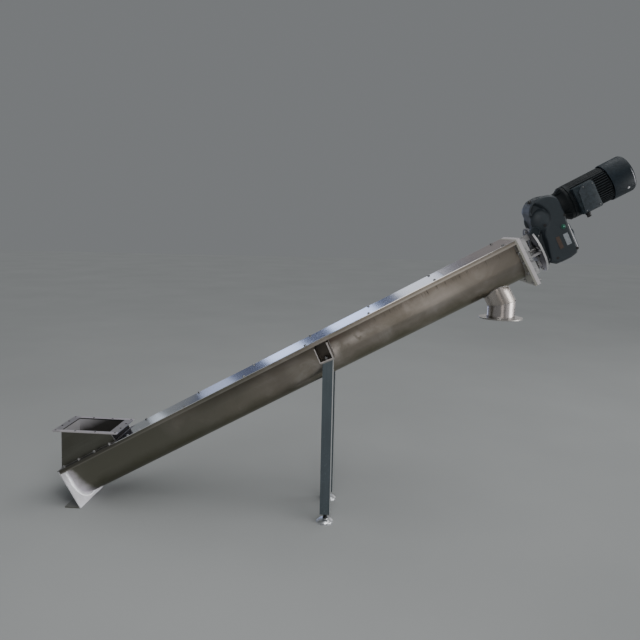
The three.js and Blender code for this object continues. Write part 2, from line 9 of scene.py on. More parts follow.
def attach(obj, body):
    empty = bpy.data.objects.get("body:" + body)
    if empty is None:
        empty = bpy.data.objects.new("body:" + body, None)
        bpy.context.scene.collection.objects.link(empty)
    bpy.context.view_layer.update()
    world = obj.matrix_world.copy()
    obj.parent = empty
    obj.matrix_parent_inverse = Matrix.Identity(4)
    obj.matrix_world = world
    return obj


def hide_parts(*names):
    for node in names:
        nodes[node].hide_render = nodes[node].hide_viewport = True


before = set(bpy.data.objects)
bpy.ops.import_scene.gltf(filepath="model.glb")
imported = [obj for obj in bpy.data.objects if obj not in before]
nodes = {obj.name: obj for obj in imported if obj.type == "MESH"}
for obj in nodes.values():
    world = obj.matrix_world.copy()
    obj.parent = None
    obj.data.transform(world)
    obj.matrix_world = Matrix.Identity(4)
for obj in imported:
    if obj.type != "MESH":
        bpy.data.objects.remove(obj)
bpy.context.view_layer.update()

# Driving dimensions, in millimetres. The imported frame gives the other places
MM = 0.001
SLOPE = math.radians(29)
BRACKET_SLOPE = math.radians(24.5)
TAIL_X = 48                     # lower edge of the tail end plate
AXIS_H = 144                    # screw axis, square to the trough
TROUGH_R = 113
SHEET_THICK = 3
MOTOR_H = 298                   # motor axis, square to the trough
GEAR_FACE = 95                  # half width of the gearbox over its raised faces
GEAR_CORE = 64                  # and behind them
EDGE_BOLT_Y = 143
COVER_BOLT_START = 497
COVER_BOLT_PITCH = 400
COVER_BOLTS = 7
HOPPER_BOLT_S = (37, 146, 256, 366)
HEAD_BOLT_LOW = 12              # lowest row of the head flange's bolts
HEAD_BOLT_H = (70, 130, 190)
SHARP_ANGLE = math.radians(24)  # edges over it stay sharp in shading
BEVEL_ANGLE = math.radians(32)  # edges over it are rounded
UP = (0, 0, 1)
DOWN = (0, 0, -1)
ALONG = (1, 0, 0)
BACK = (-1, 0, 0)
NEAR = (0, -1, 0)


def sloped(x, z, slope):
    """A frame in millimetres with its origin at x and z, and its X axis up a slope."""
    return Matrix.Translation((x * MM, 0, z * MM)) @ Matrix.Rotation(-slope, 4, "Y") @ Matrix.Scale(MM, 4)


# The trough's frame: X along it, Y across, Z square to it. The level frame has its origin on the floor
TROUGH = sloped(TAIL_X, 0, SLOPE)
LEVEL = Matrix.Scale(MM, 4)


def points_of(name, place):
    """A CAD node's vertices in the given frame, in millimetres."""
    back = place.inverted()
    return [back @ v.co for v in nodes[name].data.vertices]


def span(name, place=TROUGH):
    """Lowest and highest corner of a CAD node."""
    points = points_of(name, place)
    low = Vector([min(p[i] for p in points) for i in range(3)])
    high = Vector([max(p[i] for p in points) for i in range(3)])
    return low, high


def corner(name, direction, place=TROUGH):
    """The point of a CAD node that lies furthest in a direction."""
    return max(points_of(name, place), key=lambda p: p.dot(Vector(direction)))


def added(name, data):
    """A new object in the scene."""
    obj = bpy.data.objects.new(name, data)
    bpy.context.scene.collection.objects.link(obj)
    return obj


# Forms, added to a bmesh in millimetres
def skin(bm, lower, upper):
    """Faces between two rings of vertices; a ring of one vertex is a pole."""
    count = max(len(lower), len(upper))
    for i in range(count):
        j = (i + 1) % count
        corners = [lower[i % len(lower)], lower[j % len(lower)], upper[j % len(upper)], upper[i % len(upper)]]
        face = list(dict.fromkeys(corners))
        if len(face) > 2:
            bm.faces.new(face)


def extruded(bm, near, far):
    """A solid between two outlines with the same number of points."""
    near = [bm.verts.new(p) for p in near]
    far = [bm.verts.new(p) for p in far]
    bm.faces.new(near)
    bm.faces.new(far[::-1])
    skin(bm, near, far)


def prism(bm, outline, y0, y1):
    """An outline in X and Z, extruded from y0 to y1."""
    extruded(bm, [(x, y0, z) for x, z in outline], [(x, y1, z) for x, z in outline])


def circle(sides, phase=0.0):
    """Angles that go round a circle once, in radians."""
    return [phase + 2 * math.pi * k / sides for k in range(sides)]


def turned(bm, profile, at, axis, sides, phase=0.0):
    """A turned form; the profile is (distance along the axis, radius) pairs from the point at."""
    move = Matrix.Translation(at) @ Vector(axis).to_track_quat("Z", "Y").to_matrix().to_4x4()
    rings = []
    for along, r in profile:
        angles = circle(sides, phase) if r > 0 else [0.0]
        rings.append([bm.verts.new(move @ Vector((r * math.cos(a), r * math.sin(a), along))) for a in angles])
    for lower, upper in zip(rings, rings[1:]):
        skin(bm, lower, upper)


def sweep(bm, path, radius, sides, closed=False):
    """A round rod along a path; radius is a number or a function of the distance along it."""
    points = [Vector(p) for p in path]
    count = len(points)
    rings = []
    length = 0.0
    side = None
    for i, point in enumerate(points):
        before = points[i - 1] if i or closed else point
        after = points[(i + 1) % count] if i + 1 < count or closed else point
        along = (after - before).normalized()
        if side is None:
            side = along.orthogonal().normalized()
        side = (side - along * side.dot(along)).normalized()
        up = along.cross(side)
        length += (point - points[i - 1]).length if i else 0.0
        r = radius(length) if callable(radius) else radius
        around = [math.cos(a) * side + math.sin(a) * up for a in circle(sides)]
        rings.append([bm.verts.new(point + r * out) for out in around])
    for lower, upper in zip(rings, rings[1:]):
        skin(bm, lower, upper)
    if closed:
        skin(bm, rings[-1], rings[0])
    else:
        bm.faces.new(rings[0])
        bm.faces.new(rings[-1][::-1])


def resampled(path, step):
    """Points along a path, about one step apart."""
    points = [Vector(p) for p in path]
    out = [points[0]]
    for a, b in zip(points, points[1:]):
        parts = max(1, round((b - a).length / step))
        out += [a.lerp(b, (k + 1) / parts) for k in range(parts)]
    return out


def bead(bm, path, radius):
    """A weld bead with ripples and a little unevenness, half sunk in the corner that it fills."""
    ripple = 4.5

    def size(length):
        wave = 0.10 * math.sin(2 * math.pi * length / ripple)
        return radius * (1 + wave + 0.18 * noise.noise(Vector((length * 0.03, radius, 0))))

    points = resampled(path, ripple / 3)
    closed = (points[0] - points[-1]).length < 0.01
    sweep(bm, points[:-1] if closed else points, size, 8, closed)


def arc(centre, radius, start, end, steps):
    """Points of an arc in a plane, angles in degrees."""
    angles = [math.radians(start + (end - start) * i / steps) for i in range(steps + 1)]
    return [(centre[0] + radius * math.cos(a), centre[1] + radius * math.sin(a)) for a in angles]


# Profiles in thread diameters: distance from the seat, and radius to the corners
BOLT_HEAD = ((0.2, 0), (0.2, 0.8648), (0.3, 0.94), (0.7576, 0.94), (0.88, 0.7896), (0.88, 0))
NUT = ((0.2, 0), (0.2, 0.799), (0.32, 0.94), (0.88, 0.94), (1, 0.799), (1, 0))


def hexagon(bm, profile, at, axis, size, phase):
    """A hexagon head or nut on its washer; size is the thread's diameter."""
    turned(bm, [(-0.5, 0), (-0.5, size), (0.2 * size, size), (0.2 * size, 0)], at, axis, 20)
    turned(bm, [(along * size, r * size) for along, r in profile], at, axis, 6, phase)


def hex_bolt(bm, at, axis, size, phase):
    """Washer and hexagon head."""
    hexagon(bm, BOLT_HEAD, at, axis, size, phase)


def nut_on_stud(bm, at, axis, size, proud, phase):
    """Washer, hexagon nut and the thread that stands proud of it."""
    hexagon(bm, NUT, at, axis, size, phase)
    thread(bm, at, axis, size - 1, size + proud, size / 2)


def thread(bm, at, axis, start, end, radius, pitch=1.75):
    """A threaded rod, its thread as rings."""
    turns = max(2, round((end - start) / pitch))
    profile = [(start, 0)]
    for k in range(turns):
        low = start + (end - start) * k / turns
        profile += [(low, radius * 0.88), (low + (end - start) / turns / 2, radius)]
    profile += [(end, radius * 0.8), (end, 0)]
    turned(bm, profile, at, axis, 16)


def socket_screw(bm, at, axis, size):
    """Round head with a socket in it."""
    r = 0.8 * size
    turned(bm, [
        (-0.5, 0), (-0.5, r), (size * 0.7, r), (size * 0.85, r * 0.88), (size * 0.85, r * 0.5),
        (size * 0.35, r * 0.5), (size * 0.35, 0),
    ], at, axis, 18)


def smooth_by_angle():
    """Geometry nodes that shade round faces smooth and keep edges over an angle sharp."""
    group = bpy.data.node_groups.new("smooth_by_angle", "GeometryNodeTree")
    for in_out in ("INPUT", "OUTPUT"):
        group.interface.new_socket("Geometry", in_out=in_out, socket_type="NodeSocketGeometry")
    shade_smooth = "GeometryNodeSetShadeSmooth"
    start, merge, faces, edges, angle, over, end = [group.nodes.new(kind) for kind in (
        "NodeGroupInput", "GeometryNodeMergeByDistance", shade_smooth, shade_smooth,
        "GeometryNodeInputMeshEdgeAngle", "FunctionNodeCompare", "NodeGroupOutput",
    )]
    merge.inputs["Distance"].default_value = 1e-5
    edges.domain = "EDGE"
    edges.inputs["Shade Smooth"].default_value = False
    over.operation = "GREATER_THAN"
    over.inputs[1].default_value = SHARP_ANGLE
    for before, after in ((start, merge), (merge, faces), (faces, edges), (edges, end)):
        group.links.new(before.outputs[0], after.inputs[0])
    group.links.new(angle.outputs["Unsigned Angle"], over.inputs[0])
    group.links.new(over.outputs[0], edges.inputs["Selection"])
    return group


SMOOTH = smooth_by_angle()


def finished(obj, bevel):
    """Small rounded edges, then smooth shading of what is round."""
    if bevel:
        rounding = obj.modifiers.new("edges", "BEVEL")
        rounding.width = bevel * MM
        rounding.segments = 2
        rounding.limit_method = "ANGLE"
        rounding.angle_limit = BEVEL_ANGLE
        rounding.harden_normals = False
    obj.modifiers.new("shading", "NODES").node_group = SMOOTH


def piece(name, bm, material, place=TROUGH, bevel=0.0, replaces=()):
    """Turns a bmesh in millimetres into a named piece that rides on the frame."""
    bmesh.ops.remove_doubles(bm, verts=bm.verts, dist=0.001)
    bmesh.ops.recalc_face_normals(bm, faces=bm.faces)
    mesh = bpy.data.meshes.new(name)
    bm.to_mesh(mesh)
    bm.free()
    mesh.transform(place)
    mesh.materials.append(material)
    obj = added(name, mesh)
    finished(obj, bevel)
    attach(obj, "root")
    if replaces:
        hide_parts(*replaces)


# Materials. Their places are in metres: in the trough's axes, or in the level frame for the hopper and legs
class Finish:
    """One material. Its calls add nodes and give back outputs; tone and rough are its look so far."""

    def __init__(self, name, metallic, color, roughness):
        self.material = bpy.data.materials.new(name)
        self.material.use_nodes = True
        self.tree = self.material.node_tree
        self.shader = self.tree.nodes["Principled BSDF"]
        self.set("Metallic", metallic)
        self.set("Base Color", (*color, 1))
        self.set("Roughness", roughness)
        self.place = self.node("ShaderNodeTexCoord", "Object")
        self.base = self.tone = color
        self.rough = roughness

    def node(self, kind, output=0, inputs=(), **settings):
        """Adds a node, sets or links its inputs, and gives back one of its outputs."""
        made = self.tree.nodes.new(kind)
        for key, value in settings.items():
            setattr(made, key, value)
        for key, value in dict(inputs).items():
            self.put(made.inputs[key], value)
        return made.outputs[output]

    def put(self, socket, value):
        """Links an output to an input, or sets the input's own value."""
        if isinstance(value, bpy.types.NodeSocket):
            self.tree.links.new(value, socket)
        else:
            socket.default_value = value

    def set(self, name, value):
        """Sets or links an input of the shader."""
        self.put(self.shader.inputs[name], value)

    def axes(self):
        """The place's X, Y and Z in the level frame, in metres."""
        return [self.part(self.place, name) for name in "XYZ"]

    def part(self, vector, name):
        """One of a vector's three numbers."""
        return self.node("ShaderNodeSeparateXYZ", name, {"Vector": vector})

    def facing(self):
        """The face's normal, in the level frame."""
        return self.node("ShaderNodeNewGeometry", "True Normal")

    def mapped(self, vector, **settings):
        """A vector moved, turned or scaled by a mapping node."""
        return self.node("ShaderNodeMapping", "Vector", {"Vector": vector, **settings})

    def stretched(self, scale, slope=SLOPE):
        """Coordinates along the trough, stretched by a scale on each axis."""
        return self.mapped(self.mapped(self.place, Rotation=(0, slope, 0)), Scale=scale)

    def trough_axes(self):
        """Distance along the trough, across it and square to it, in metres."""
        start = (-TAIL_X * MM * math.cos(SLOPE), 0, TAIL_X * MM * math.sin(SLOPE))
        place = self.mapped(self.place, Rotation=(0, SLOPE, 0), Location=start)
        return [self.part(place, name) for name in "XYZ"]

    def beyond(self, limit, soft):
        """One beyond a distance from the machine's middle plane."""
        return self.ramp(self.math("ABSOLUTE", self.trough_axes()[1]), limit - soft, limit + soft)

    def noise(self, scale, detail=4.0, rough=0.55, where=None, distortion=0.0):
        return self.node("ShaderNodeTexNoise", "Fac", {
            "Scale": scale, "Detail": detail, "Roughness": rough, "Distortion": distortion,
            "Vector": where or self.place,
        })

    def ramp(self, fac, low, high, a=0.0, b=1.0):
        """Maps fac from low..high to a..b, clamped."""
        return self.node("ShaderNodeMapRange", "Result", {
            "Value": fac, "From Min": low, "From Max": high, "To Min": a, "To Max": b,
        })

    def fall(self, fac, low, high, top=1.0):
        """The top value below low, and none above high."""
        return self.ramp(fac, low, high, top, 0.0)

    def band(self, value, low, high, soft):
        """One between low and high, with soft ends."""
        rise = self.ramp(value, low - soft, low + soft)
        return self.times(rise, self.fall(value, high - soft, high + soft))

    def zone(self, *bands):
        """One where all the (value, low, high, soft) bands are."""
        return self.times(*[self.band(*each) for each in bands])

    def mix(self, fac, a, b):
        a, b = [(*color, 1) if isinstance(color, tuple) else color for color in (a, b)]
        return self.node("ShaderNodeMix", 2, {"Factor": fac, 6: a, 7: b}, data_type="RGBA")

    def math(self, operation, a, b=0.0):
        return self.node("ShaderNodeMath", 0, {0: a, 1: b}, operation=operation)

    def plus(self, a, b):
        return self.math("ADD", a, b)

    def times(self, first, *others):
        """The product of masks or numbers."""
        for other in others:
            first = self.math("MULTIPLY", first, other)
        return first

    def either(self, a, b):
        return self.math("MAXIMUM", a, b)

    def spread(self, noise, a=0.0, b=1.0):
        """Noise, most of which lies from 0.3 to 0.7, spread out from a to b."""
        return self.ramp(noise, 0.3, 0.7, a, b)

    def wavering(self, value, reach, *grain):
        """A value moved by noise, up to the reach either way."""
        return self.plus(value, self.spread(self.noise(*grain), -reach, reach))

    def tint(self, mask, color):
        """Lays a colour over the tone where the mask is."""
        self.tone = self.mix(mask, self.tone, color)

    def shade(self, mask, k):
        """Lays the base colour, made lighter or darker, where the mask is."""
        self.tint(mask, scaled(self.base, k))

    def brushed_across(self, amount):
        """Reflections drawn out across the trough, as grain along it does."""
        self.set("Anisotropic", amount)
        self.set("Tangent", self.node("ShaderNodeCombineXYZ", "Vector", {"Y": 1.0}))

    def bump(self, *layers):
        """Bump from (height, depth in millimetres) layers."""
        under = {}
        for height, depth in layers:
            normal = self.node("ShaderNodeBump", "Normal", {
                "Strength": 1.0, "Distance": depth * MM, "Height": height, **under,
            })
            under = {"Normal": normal}
        self.set("Normal", normal)

    def done(self):
        """Gives the shader its colour and roughness, and gives back the material."""
        self.set("Base Color", self.tone)
        self.set("Roughness", self.rough)
        return self.material


def scaled(color, k):
    """A colour made lighter or darker."""
    return tuple(k * c for c in color)


def scratches(f, scale, amount):
    """Thin lines in changing directions, as a mask."""
    every = 0.0
    for angle in (0.35, -0.5, 1.3):
        leaning = f.mapped(f.place, Rotation=(0.3 * angle, SLOPE + angle, 0.2), Location=(angle, 0, -angle))
        fine = f.noise(1.0, 1.0, 0.4, f.mapped(leaning, Scale=(scale * 0.06, scale, scale)), 0.1)
        every = f.either(every, f.ramp(fine, 0.74 - amount, 0.78 - amount))
    return f.times(every, f.ramp(f.noise(2.0, 2.0), 0.45, 0.6))


def sheet(name, base, dark, light, roughness, metallic=1.0, wave_depth=0.6, wear=1.0):
    """A finish with rolling streaks, handling stains, scratches and a faint waviness."""
    f = Finish(f"stainless_{name}", metallic, base, roughness)
    streaks = f.noise(1.0, 5.0, 0.6, f.stretched((1.2, 90, 90)))
    cloud = f.noise(2.2, 5.0, 0.6, None, 0.6)
    smear = f.noise(1.0, 6.0, 0.65, f.stretched((2.5, 11, 11)))
    marks = scratches(f, 260, 0.02)
    f.tint(f.fall(cloud, 0.32, 0.7), dark)
    f.tint(f.ramp(smear, 0.52, 0.8, 0.0, 0.55), light)
    f.tint(f.ramp(streaks, 0.3, 0.75, 0.0, 0.16), dark)
    f.tint(f.times(marks, 0.4 * wear), light)
    f.rough = f.plus(f.spread(cloud, 1.12 * roughness, 0.92 * roughness),
                     f.spread(streaks, -0.05 * roughness, 0.08 * roughness))
    f.bump((f.noise(4.0, 1.0, 0.3), wave_depth), (streaks, 0.02 * wear), (marks, 0.02 * wear))
    return f


def sheet_steel(name, base, dark, light, roughness, metallic=1.0):
    """Mill-finish stainless sheet; ground or blasted sheet is given less metallic."""
    return sheet(name, base, dark, light, roughness, metallic).done()


def trough_zones(f, along, up):
    """Blotches, a darker tail end that is partly painted reflection, a darker head end, and an olive bottom
    that is painted reflection of the floor.
    """
    blotch = f.noise(5.0, 5.0, 0.62, None, 0.8)
    f.tint(f.ramp(blotch, 0.5, 0.66, 0.0, 0.5), (0.25, 0.225, 0.18))
    f.tint(f.fall(blotch, 0.34, 0.48, 0.6), (0.54, 0.49, 0.45))
    drift = f.wavering(along, 0.35, 1.5, 3.0)
    # Darker towards the tail end: partly the sheet's own tone, partly painted reflection of the dark floor
    f.tint(f.fall(drift, 0.7, 1.5), (0.20, 0.193, 0.155))
    f.tint(f.ramp(drift, 2.65, 2.9, 0.0, 0.5), (0.26, 0.235, 0.205))
    # Painted reflection of the floor: an olive tone low on the trough
    f.tint(f.fall(f.wavering(up, 0.02, 7.0, 4.0, 0.6), 0.05, 0.11, 0.75), (0.14, 0.135, 0.085))


def trough_lip(f, along, up, round_part):
    """The lip, with a painted highlight below and a painted shadow on its bend, and painted shade and dark
    ticks on the wall under it.
    """
    lip = f.beyond(0.1615, 0.0015)
    # Painted highlight on the lip's lower face
    below = f.times(f.band(up, 0.2395, 0.250, 0.001), lip, f.ramp(along, 1.7, 2.3, 0.2, 0.5))
    f.tint(below, (0.62, 0.58, 0.53))
    # Painted shadow on the lip's bend beside the hopper
    f.tint(f.times(f.ramp(up, 0.246, 0.248), lip, f.fall(along, 0.4, 0.6, 0.6)), (0.10, 0.09, 0.08))
    # Painted shade on the wall under the lip
    shade = f.times(f.ramp(up, 0.175, 0.234), f.ramp(along, 0.7, 1.2), f.ramp(along, 1.9, 2.4, 0.72, 0.3))
    f.tint(f.times(shade, round_part), (0.09, 0.075, 0.06))
    ticks = f.ramp(f.noise(1.0, 3.0, 0.6, f.stretched((150, 1, 9))), 0.56, 0.66)
    where = f.times(f.band(up, 0.208, 0.240, 0.010), f.ramp(along, 1.9, 2.3, 0.0, 0.75), round_part)
    f.tint(f.times(ticks, where), (0.05, 0.04, 0.035))


def ground_and_sheen_patches(f, edge, up, round_part):
    """Ground sheet, light at the tail's weld, and painted sheen by the brackets and near the head; gives back
    where.
    """
    ground = f.times(f.fall(f.plus(edge, f.times(up, 0.3)), 0.05, 0.125), round_part)
    cloud = f.ramp(f.noise(20.0, 4.0, 0.6, None, 1.0), 0.34, 0.52)
    # Painted sheen: light patches beside the bracket, past it and near the head
    sheen_by_cheek = f.times(f.zone((edge, 1.81, 1.85, 0.015), (up, 0.13, 0.19, 0.025)), 0.9, cloud)
    sheen_past_cheek = f.times(f.zone((edge, 1.91, 2.01, 0.035), (up, 0.155, 0.19, 0.02)), 0.75, cloud)
    sheen_by_head = f.times(f.zone((edge, 2.36, 2.64, 0.09), (up, 0.13, 0.19, 0.03)), 0.42)
    painted_sheen = f.either(f.either(sheen_by_cheek, sheen_past_cheek), sheen_by_head)
    f.tint(ground, (0.74, 0.71, 0.76))
    f.tint(painted_sheen, (0.76, 0.69, 0.64))
    return f.either(ground, painted_sheen)


def trough_steel():
    """The trough's sheet: darker olive at the tail and warmer towards the head, partly painted reflection;
    ground light at the tail's weld; painted sheen by the brackets; painted shade under the lip and in the
    bracket.
    """
    f = sheet("trough", (0.41, 0.365, 0.315), (0.32, 0.28, 0.235), (0.50, 0.46, 0.41), 0.33)
    along, across, up = f.trough_axes()
    edge = f.wavering(along, 0.015, 14.0, 3.0)
    round_part = f.fall(f.math("ABSOLUTE", across), 0.118, 0.124)
    trough_zones(f, along, up)
    trough_lip(f, along, up, round_part)
    stain = f.times(f.zone((edge, 1.42, 1.53, 0.03), (up, 0.06, 0.22, 0.02)), 0.4)
    heat = f.times(f.zone((edge, 1.81, 1.90, 0.02), (up, 0.21, 0.238, 0.01)), 0.5)
    f.tint(stain, (0.20, 0.17, 0.14))
    f.tint(heat, (0.17, 0.115, 0.095))
    light = ground_and_sheen_patches(f, edge, up, round_part)
    # Painted shade inside the bracket's channel, on the wall behind it
    painted_shade_in_bracket = f.times(f.zone((along, 1.737, 1.803, 0.003), (up, 0.142, 0.24, 0.004)), 0.8)
    f.tint(painted_shade_in_bracket, (0.05, 0.045, 0.04))
    f.rough = f.plus(f.rough, f.times(light, 0.2))
    return f.done()


def cover_steel(name, base, dark, light, roughness):
    """Smooth cover sheet, brushed along the trough, with a painted highlight along its sheared edges."""
    f = sheet(name, base, dark, light, roughness, 1.0, 0.1, 0.2)
    # Painted highlight along the covers' edges
    f.tint(f.beyond(0.1635, 0.0005), (0.95, 0.94, 0.95))
    f.brushed_across(0.9)
    return f.done()


def flange_steel():
    """The hopper's flange: painted highlights on its near and far strips, painted shade on its tail strip,
    and painted shade in its holes and on its inner edges.
    """
    f = sheet("flange", (0.51, 0.485, 0.475), (0.40, 0.38, 0.37), (0.62, 0.60, 0.60), 0.42, 0.75)
    x = f.axes()[0]
    upright = f.fall(f.math("ABSOLUTE", f.part(f.facing(), "Z")), 0.3, 0.5)
    inside = f.times(f.band(x, -0.112, 0.276, 0.001), f.math("SUBTRACT", 1.0, f.beyond(0.131, 0.001)))
    # Painted highlight on the near and far strips, and painted shade on the tail strip
    f.tint(f.beyond(0.109, 0.002), (0.74, 0.69, 0.70))
    f.tint(f.fall(x, -0.075, -0.065, 0.4), (0.36, 0.35, 0.37))
    # Painted shade on the upright faces inside: the holes' walls and the inner edges
    f.tint(f.times(upright, inside), (0.02, 0.02, 0.02))
    return f.done()


def bracket_steel():
    """Welded channel in a dark brown tone that is painted shade, with painted highlights on its front edges.
    """
    f = sheet("bracket", (0.17, 0.15, 0.13), (0.11, 0.10, 0.085), (0.25, 0.23, 0.21), 0.45, 0.9)
    # Painted highlight on the cheeks' front edges
    f.tint(f.beyond(0.1745, 0.0008), (0.62, 0.58, 0.56))
    return f.done()


def hopper_base_steel():
    """The hopper's base plate, with painted shade on its strips beside the hopper, under the walls."""
    f = sheet("hopper_base", (0.38, 0.36, 0.38), (0.29, 0.275, 0.28), (0.50, 0.48, 0.50), 0.4)
    # Painted shade on the strips beside the hopper
    f.tint(f.times(f.beyond(0.110, 0.002), f.fall(f.trough_axes()[0], 0.36, 0.40, 0.8)), (0.10, 0.097, 0.08))
    return f.done()


def hopper_inside():
    """The hopper's far wall: its dark tones are painted shade, with painted light inside towards the tail and
    less of it low down; its outer face has the hopper's plain tone.
    """
    tones = (0.10, 0.095, 0.09), (0.07, 0.065, 0.06), (0.14, 0.135, 0.13)
    f = sheet("hopper_far", *tones, 0.45, 0.5)
    x, _, z = f.axes()
    # Painted light inside, towards the tail and away from the bottom
    drift = f.plus(f.wavering(x, 0.02, 9.0, 3.0), f.fall(z, 0.37, 0.47, 0.2))
    f.tint(f.fall(drift, -0.015, 0.13), (0.70, 0.68, 0.70))
    # The outer face gets the hopper's plain tone
    f.tint(f.ramp(f.part(f.facing(), "Y"), 0.4, 0.5), (0.24, 0.235, 0.20))
    return f.done()


def bright_steel(name, base, roughness):
    """Polished steel with faint polishing lines and dull patches."""
    f = Finish(name, 1.0, base, roughness)
    lines = f.noise(1.0, 4.0, 0.6, f.stretched((60, 60, 3), 0.0))
    cloud = f.noise(9.0, 4.0, 0.6)
    f.shade(f.fall(cloud, 0.35, 0.7), 0.8)
    f.rough = f.plus(f.spread(cloud, roughness + 0.06, roughness - 0.03), f.spread(lines, -0.02, 0.05))
    f.bump((f.noise(14.0, 1.0), 0.25), (lines, 0.02))
    return f.done()


def leg_steel():
    """Satin grey tube with upright brushing and fine scuffs; its dark tone is painted reflection of the
    floor; a painted highlight on its corner and painted light on its face towards the head.
    """
    f = Finish("leg_satin", 0.85, (0.15, 0.18, 0.20), 0.42)
    brush = f.noise(1.0, 4.0, 0.6, f.stretched((140, 140, 1.5), 0.0))
    f.shade(f.fall(f.noise(5.0, 4.0), 0.3, 0.7), 0.82)
    f.shade(f.ramp(brush, 0.35, 0.7, 0.0, 0.25), 1.5)
    f.shade(f.times(scratches(f, 300, 0.03), 0.5), 2.0)
    x = f.axes()[0]
    corner_x = span("near_leg", LEVEL)[1].x * MM
    # Painted highlight on the rounded corner towards the head, and painted light on the face towards the head
    f.tint(f.ramp(x, corner_x - 0.0032, corner_x - 0.0022), (0.98, 0.98, 0.97))
    f.tint(f.ramp(x, corner_x - 0.0004, corner_x - 0.0001), (0.42, 0.44, 0.45))
    f.rough = f.spread(brush, 0.36, 0.5)
    f.bump((brush, 0.04), (f.noise(7.0, 1.0), 0.3))
    return f.done()


def cast_metal(name, base, face=None):
    """Light sandy casting; face is the tone of painted shade on its faces along the trough, which get painted
    light low down.
    """
    f = Finish(name, 0.75, base, 0.5)
    grain = f.noise(420.0, 3.0, 0.7)
    cloud = f.noise(14.0, 5.0, 0.65)
    f.shade(f.fall(cloud, 0.35, 0.72), 0.62)
    f.shade(f.ramp(grain, 0.35, 0.7, 0.0, 0.25), 0.6)
    # Painted shade on faces along the trough, lightened low down as painted light
    if face:
        slope = (math.cos(SLOPE), 0, math.sin(SLOPE))
        along = f.node("ShaderNodeVectorMath", "Value", {0: f.facing(), 1: slope}, operation="DOT_PRODUCT")
        faces = f.mix(f.fall(f.trough_axes()[2], 0.02, 0.11), face, scaled(face, 3.2))
        f.tint(f.ramp(f.math("ABSOLUTE", along), 0.8, 0.95), faces)
    f.rough = f.spread(cloud, 0.58, 0.42)
    f.bump((grain, 0.12), (f.noise(40.0, 3.0), 0.3))
    return f.done()


def painted_rim_highlight(f):
    """Two painted highlight arcs on the cowl's rim, on its near side."""
    along, across, up = f.trough_axes()
    end = span("motor_fan_cowl")[1].x * MM
    middle = MOTOR_H * MM
    highlight_arcs = f.plus(f.band(along, end - 0.0025, end - 0.0005, 0.0005),
                  f.band(along, end - 0.0145, end - 0.0115, 0.0005))
    part = f.times(f.fall(across, -0.055, -0.045), f.band(up, middle - 0.06, middle + 0.01, 0.015))
    f.tint(f.times(highlight_arcs, part), (0.9, 0.89, 0.95))


def drive_paint(name, base, roughness, gloss=0.35, rim=False):
    """Dark grey paint on castings: orange peel, dust, and worn edges; rim adds painted highlight arcs on the
    cowl's rim.
    """
    f = Finish(name, 0.0, base, roughness)
    f.set("Specular IOR Level", gloss)
    cloud = f.noise(16.0, 5.0, 0.65)
    dust = f.noise(70.0, 4.0, 0.7)
    edge = f.node("ShaderNodeNewGeometry", "Pointiness")
    f.shade(f.fall(cloud, 0.35, 0.7), 0.85)
    f.shade(f.ramp(dust, 0.6, 0.85, 0.0, 0.15), 2.0)
    f.shade(f.times(f.ramp(edge, 0.53, 0.62), f.ramp(dust, 0.35, 0.6), 0.5), 5.0)
    # Painted highlight arcs on the cowl's rim
    if rim:
        painted_rim_highlight(f)
    f.rough = f.spread(cloud, roughness + 0.1, roughness - 0.08)
    f.bump((f.noise(260.0, 2.0, 0.5), 0.10), (f.noise(30.0, 2.0), 0.35))
    return f.done()


def weld_metal(name, base, metallic):
    """Weld beads: fine ripples, with a little straw heat tint in places."""
    f = Finish(name, metallic, base, 0.3)
    heat = f.noise(22.0, 3.0, 0.6)
    straw = tuple(c * k for c, k in zip(base, (0.56, 0.47, 0.35)))
    f.tint(f.ramp(heat, 0.58, 0.75, 0.0, 0.6), straw)
    f.rough = f.spread(heat, 0.25, 0.4)
    f.bump((f.noise(500.0, 2.0), 0.1))
    return f.done()


def zinc(name, base, roughness):
    """Fasteners: bright metal with dull patches."""
    f = Finish(name, 1.0, base, roughness)
    spots = f.noise(180.0, 3.0, 0.6)
    f.shade(f.ramp(spots, 0.4, 0.7), 0.55)
    f.rough = f.spread(spots, roughness - 0.08, roughness + 0.12)
    f.bump((f.noise(600.0, 2.0), 0.05))
    return f.done()


def blank_plate(name, base, metallic):
    """Small bare plates and plugs: brushed, with a little grime."""
    f = Finish(name, metallic, base, 0.4)
    lines = f.noise(1.0, 3.0, 0.6, f.stretched((8, 8, 500)))
    grime = f.noise(60.0, 4.0, 0.65)
    f.shade(f.ramp(grime, 0.45, 0.75), 0.6)
    f.shade(f.ramp(lines, 0.35, 0.7, 0.0, 0.2), 1.3)
    f.rough = f.spread(grime, 0.32, 0.55)
    f.bump((lines, 0.02))
    return f.done()


# Each sheet has its own tone, the darker and lighter tones in it, its roughness and how metallic it is
SHEET = sheet_steel("plate", (0.50, 0.49, 0.48), (0.40, 0.385, 0.36), (0.62, 0.61, 0.60), 0.36)
TROUGH_SHEET = trough_steel()
# The tail's end plate and fillet: ground sheet whose light tone is partly painted light
END_PLATE = sheet_steel("ground", (0.78, 0.77, 0.81), (0.56, 0.55, 0.58), (0.92, 0.91, 0.94), 0.45, 0.35)
HEAD_PLATE = sheet_steel("head_plate", (0.82, 0.78, 0.79), (0.70, 0.66, 0.67), (0.92, 0.89, 0.90), 0.45, 0.5)
HEAD_FLANGE = sheet_steel(
    "head_flange", (0.46, 0.45, 0.40), (0.36, 0.35, 0.31), (0.58, 0.57, 0.52), 0.45, 0.4)
# Darker than the other sheet, as painted shade under the end plate
FOOT_PLATE = sheet_steel("foot", (0.25, 0.25, 0.22), (0.18, 0.18, 0.16), (0.34, 0.34, 0.30), 0.45, 0.6)
# The covers are one sheet in two copies: the lower cover tinted blue as painted reflection
COVER = cover_steel("cover", (0.62, 0.67, 0.76), (0.54, 0.58, 0.66), (0.74, 0.77, 0.84), 0.07)
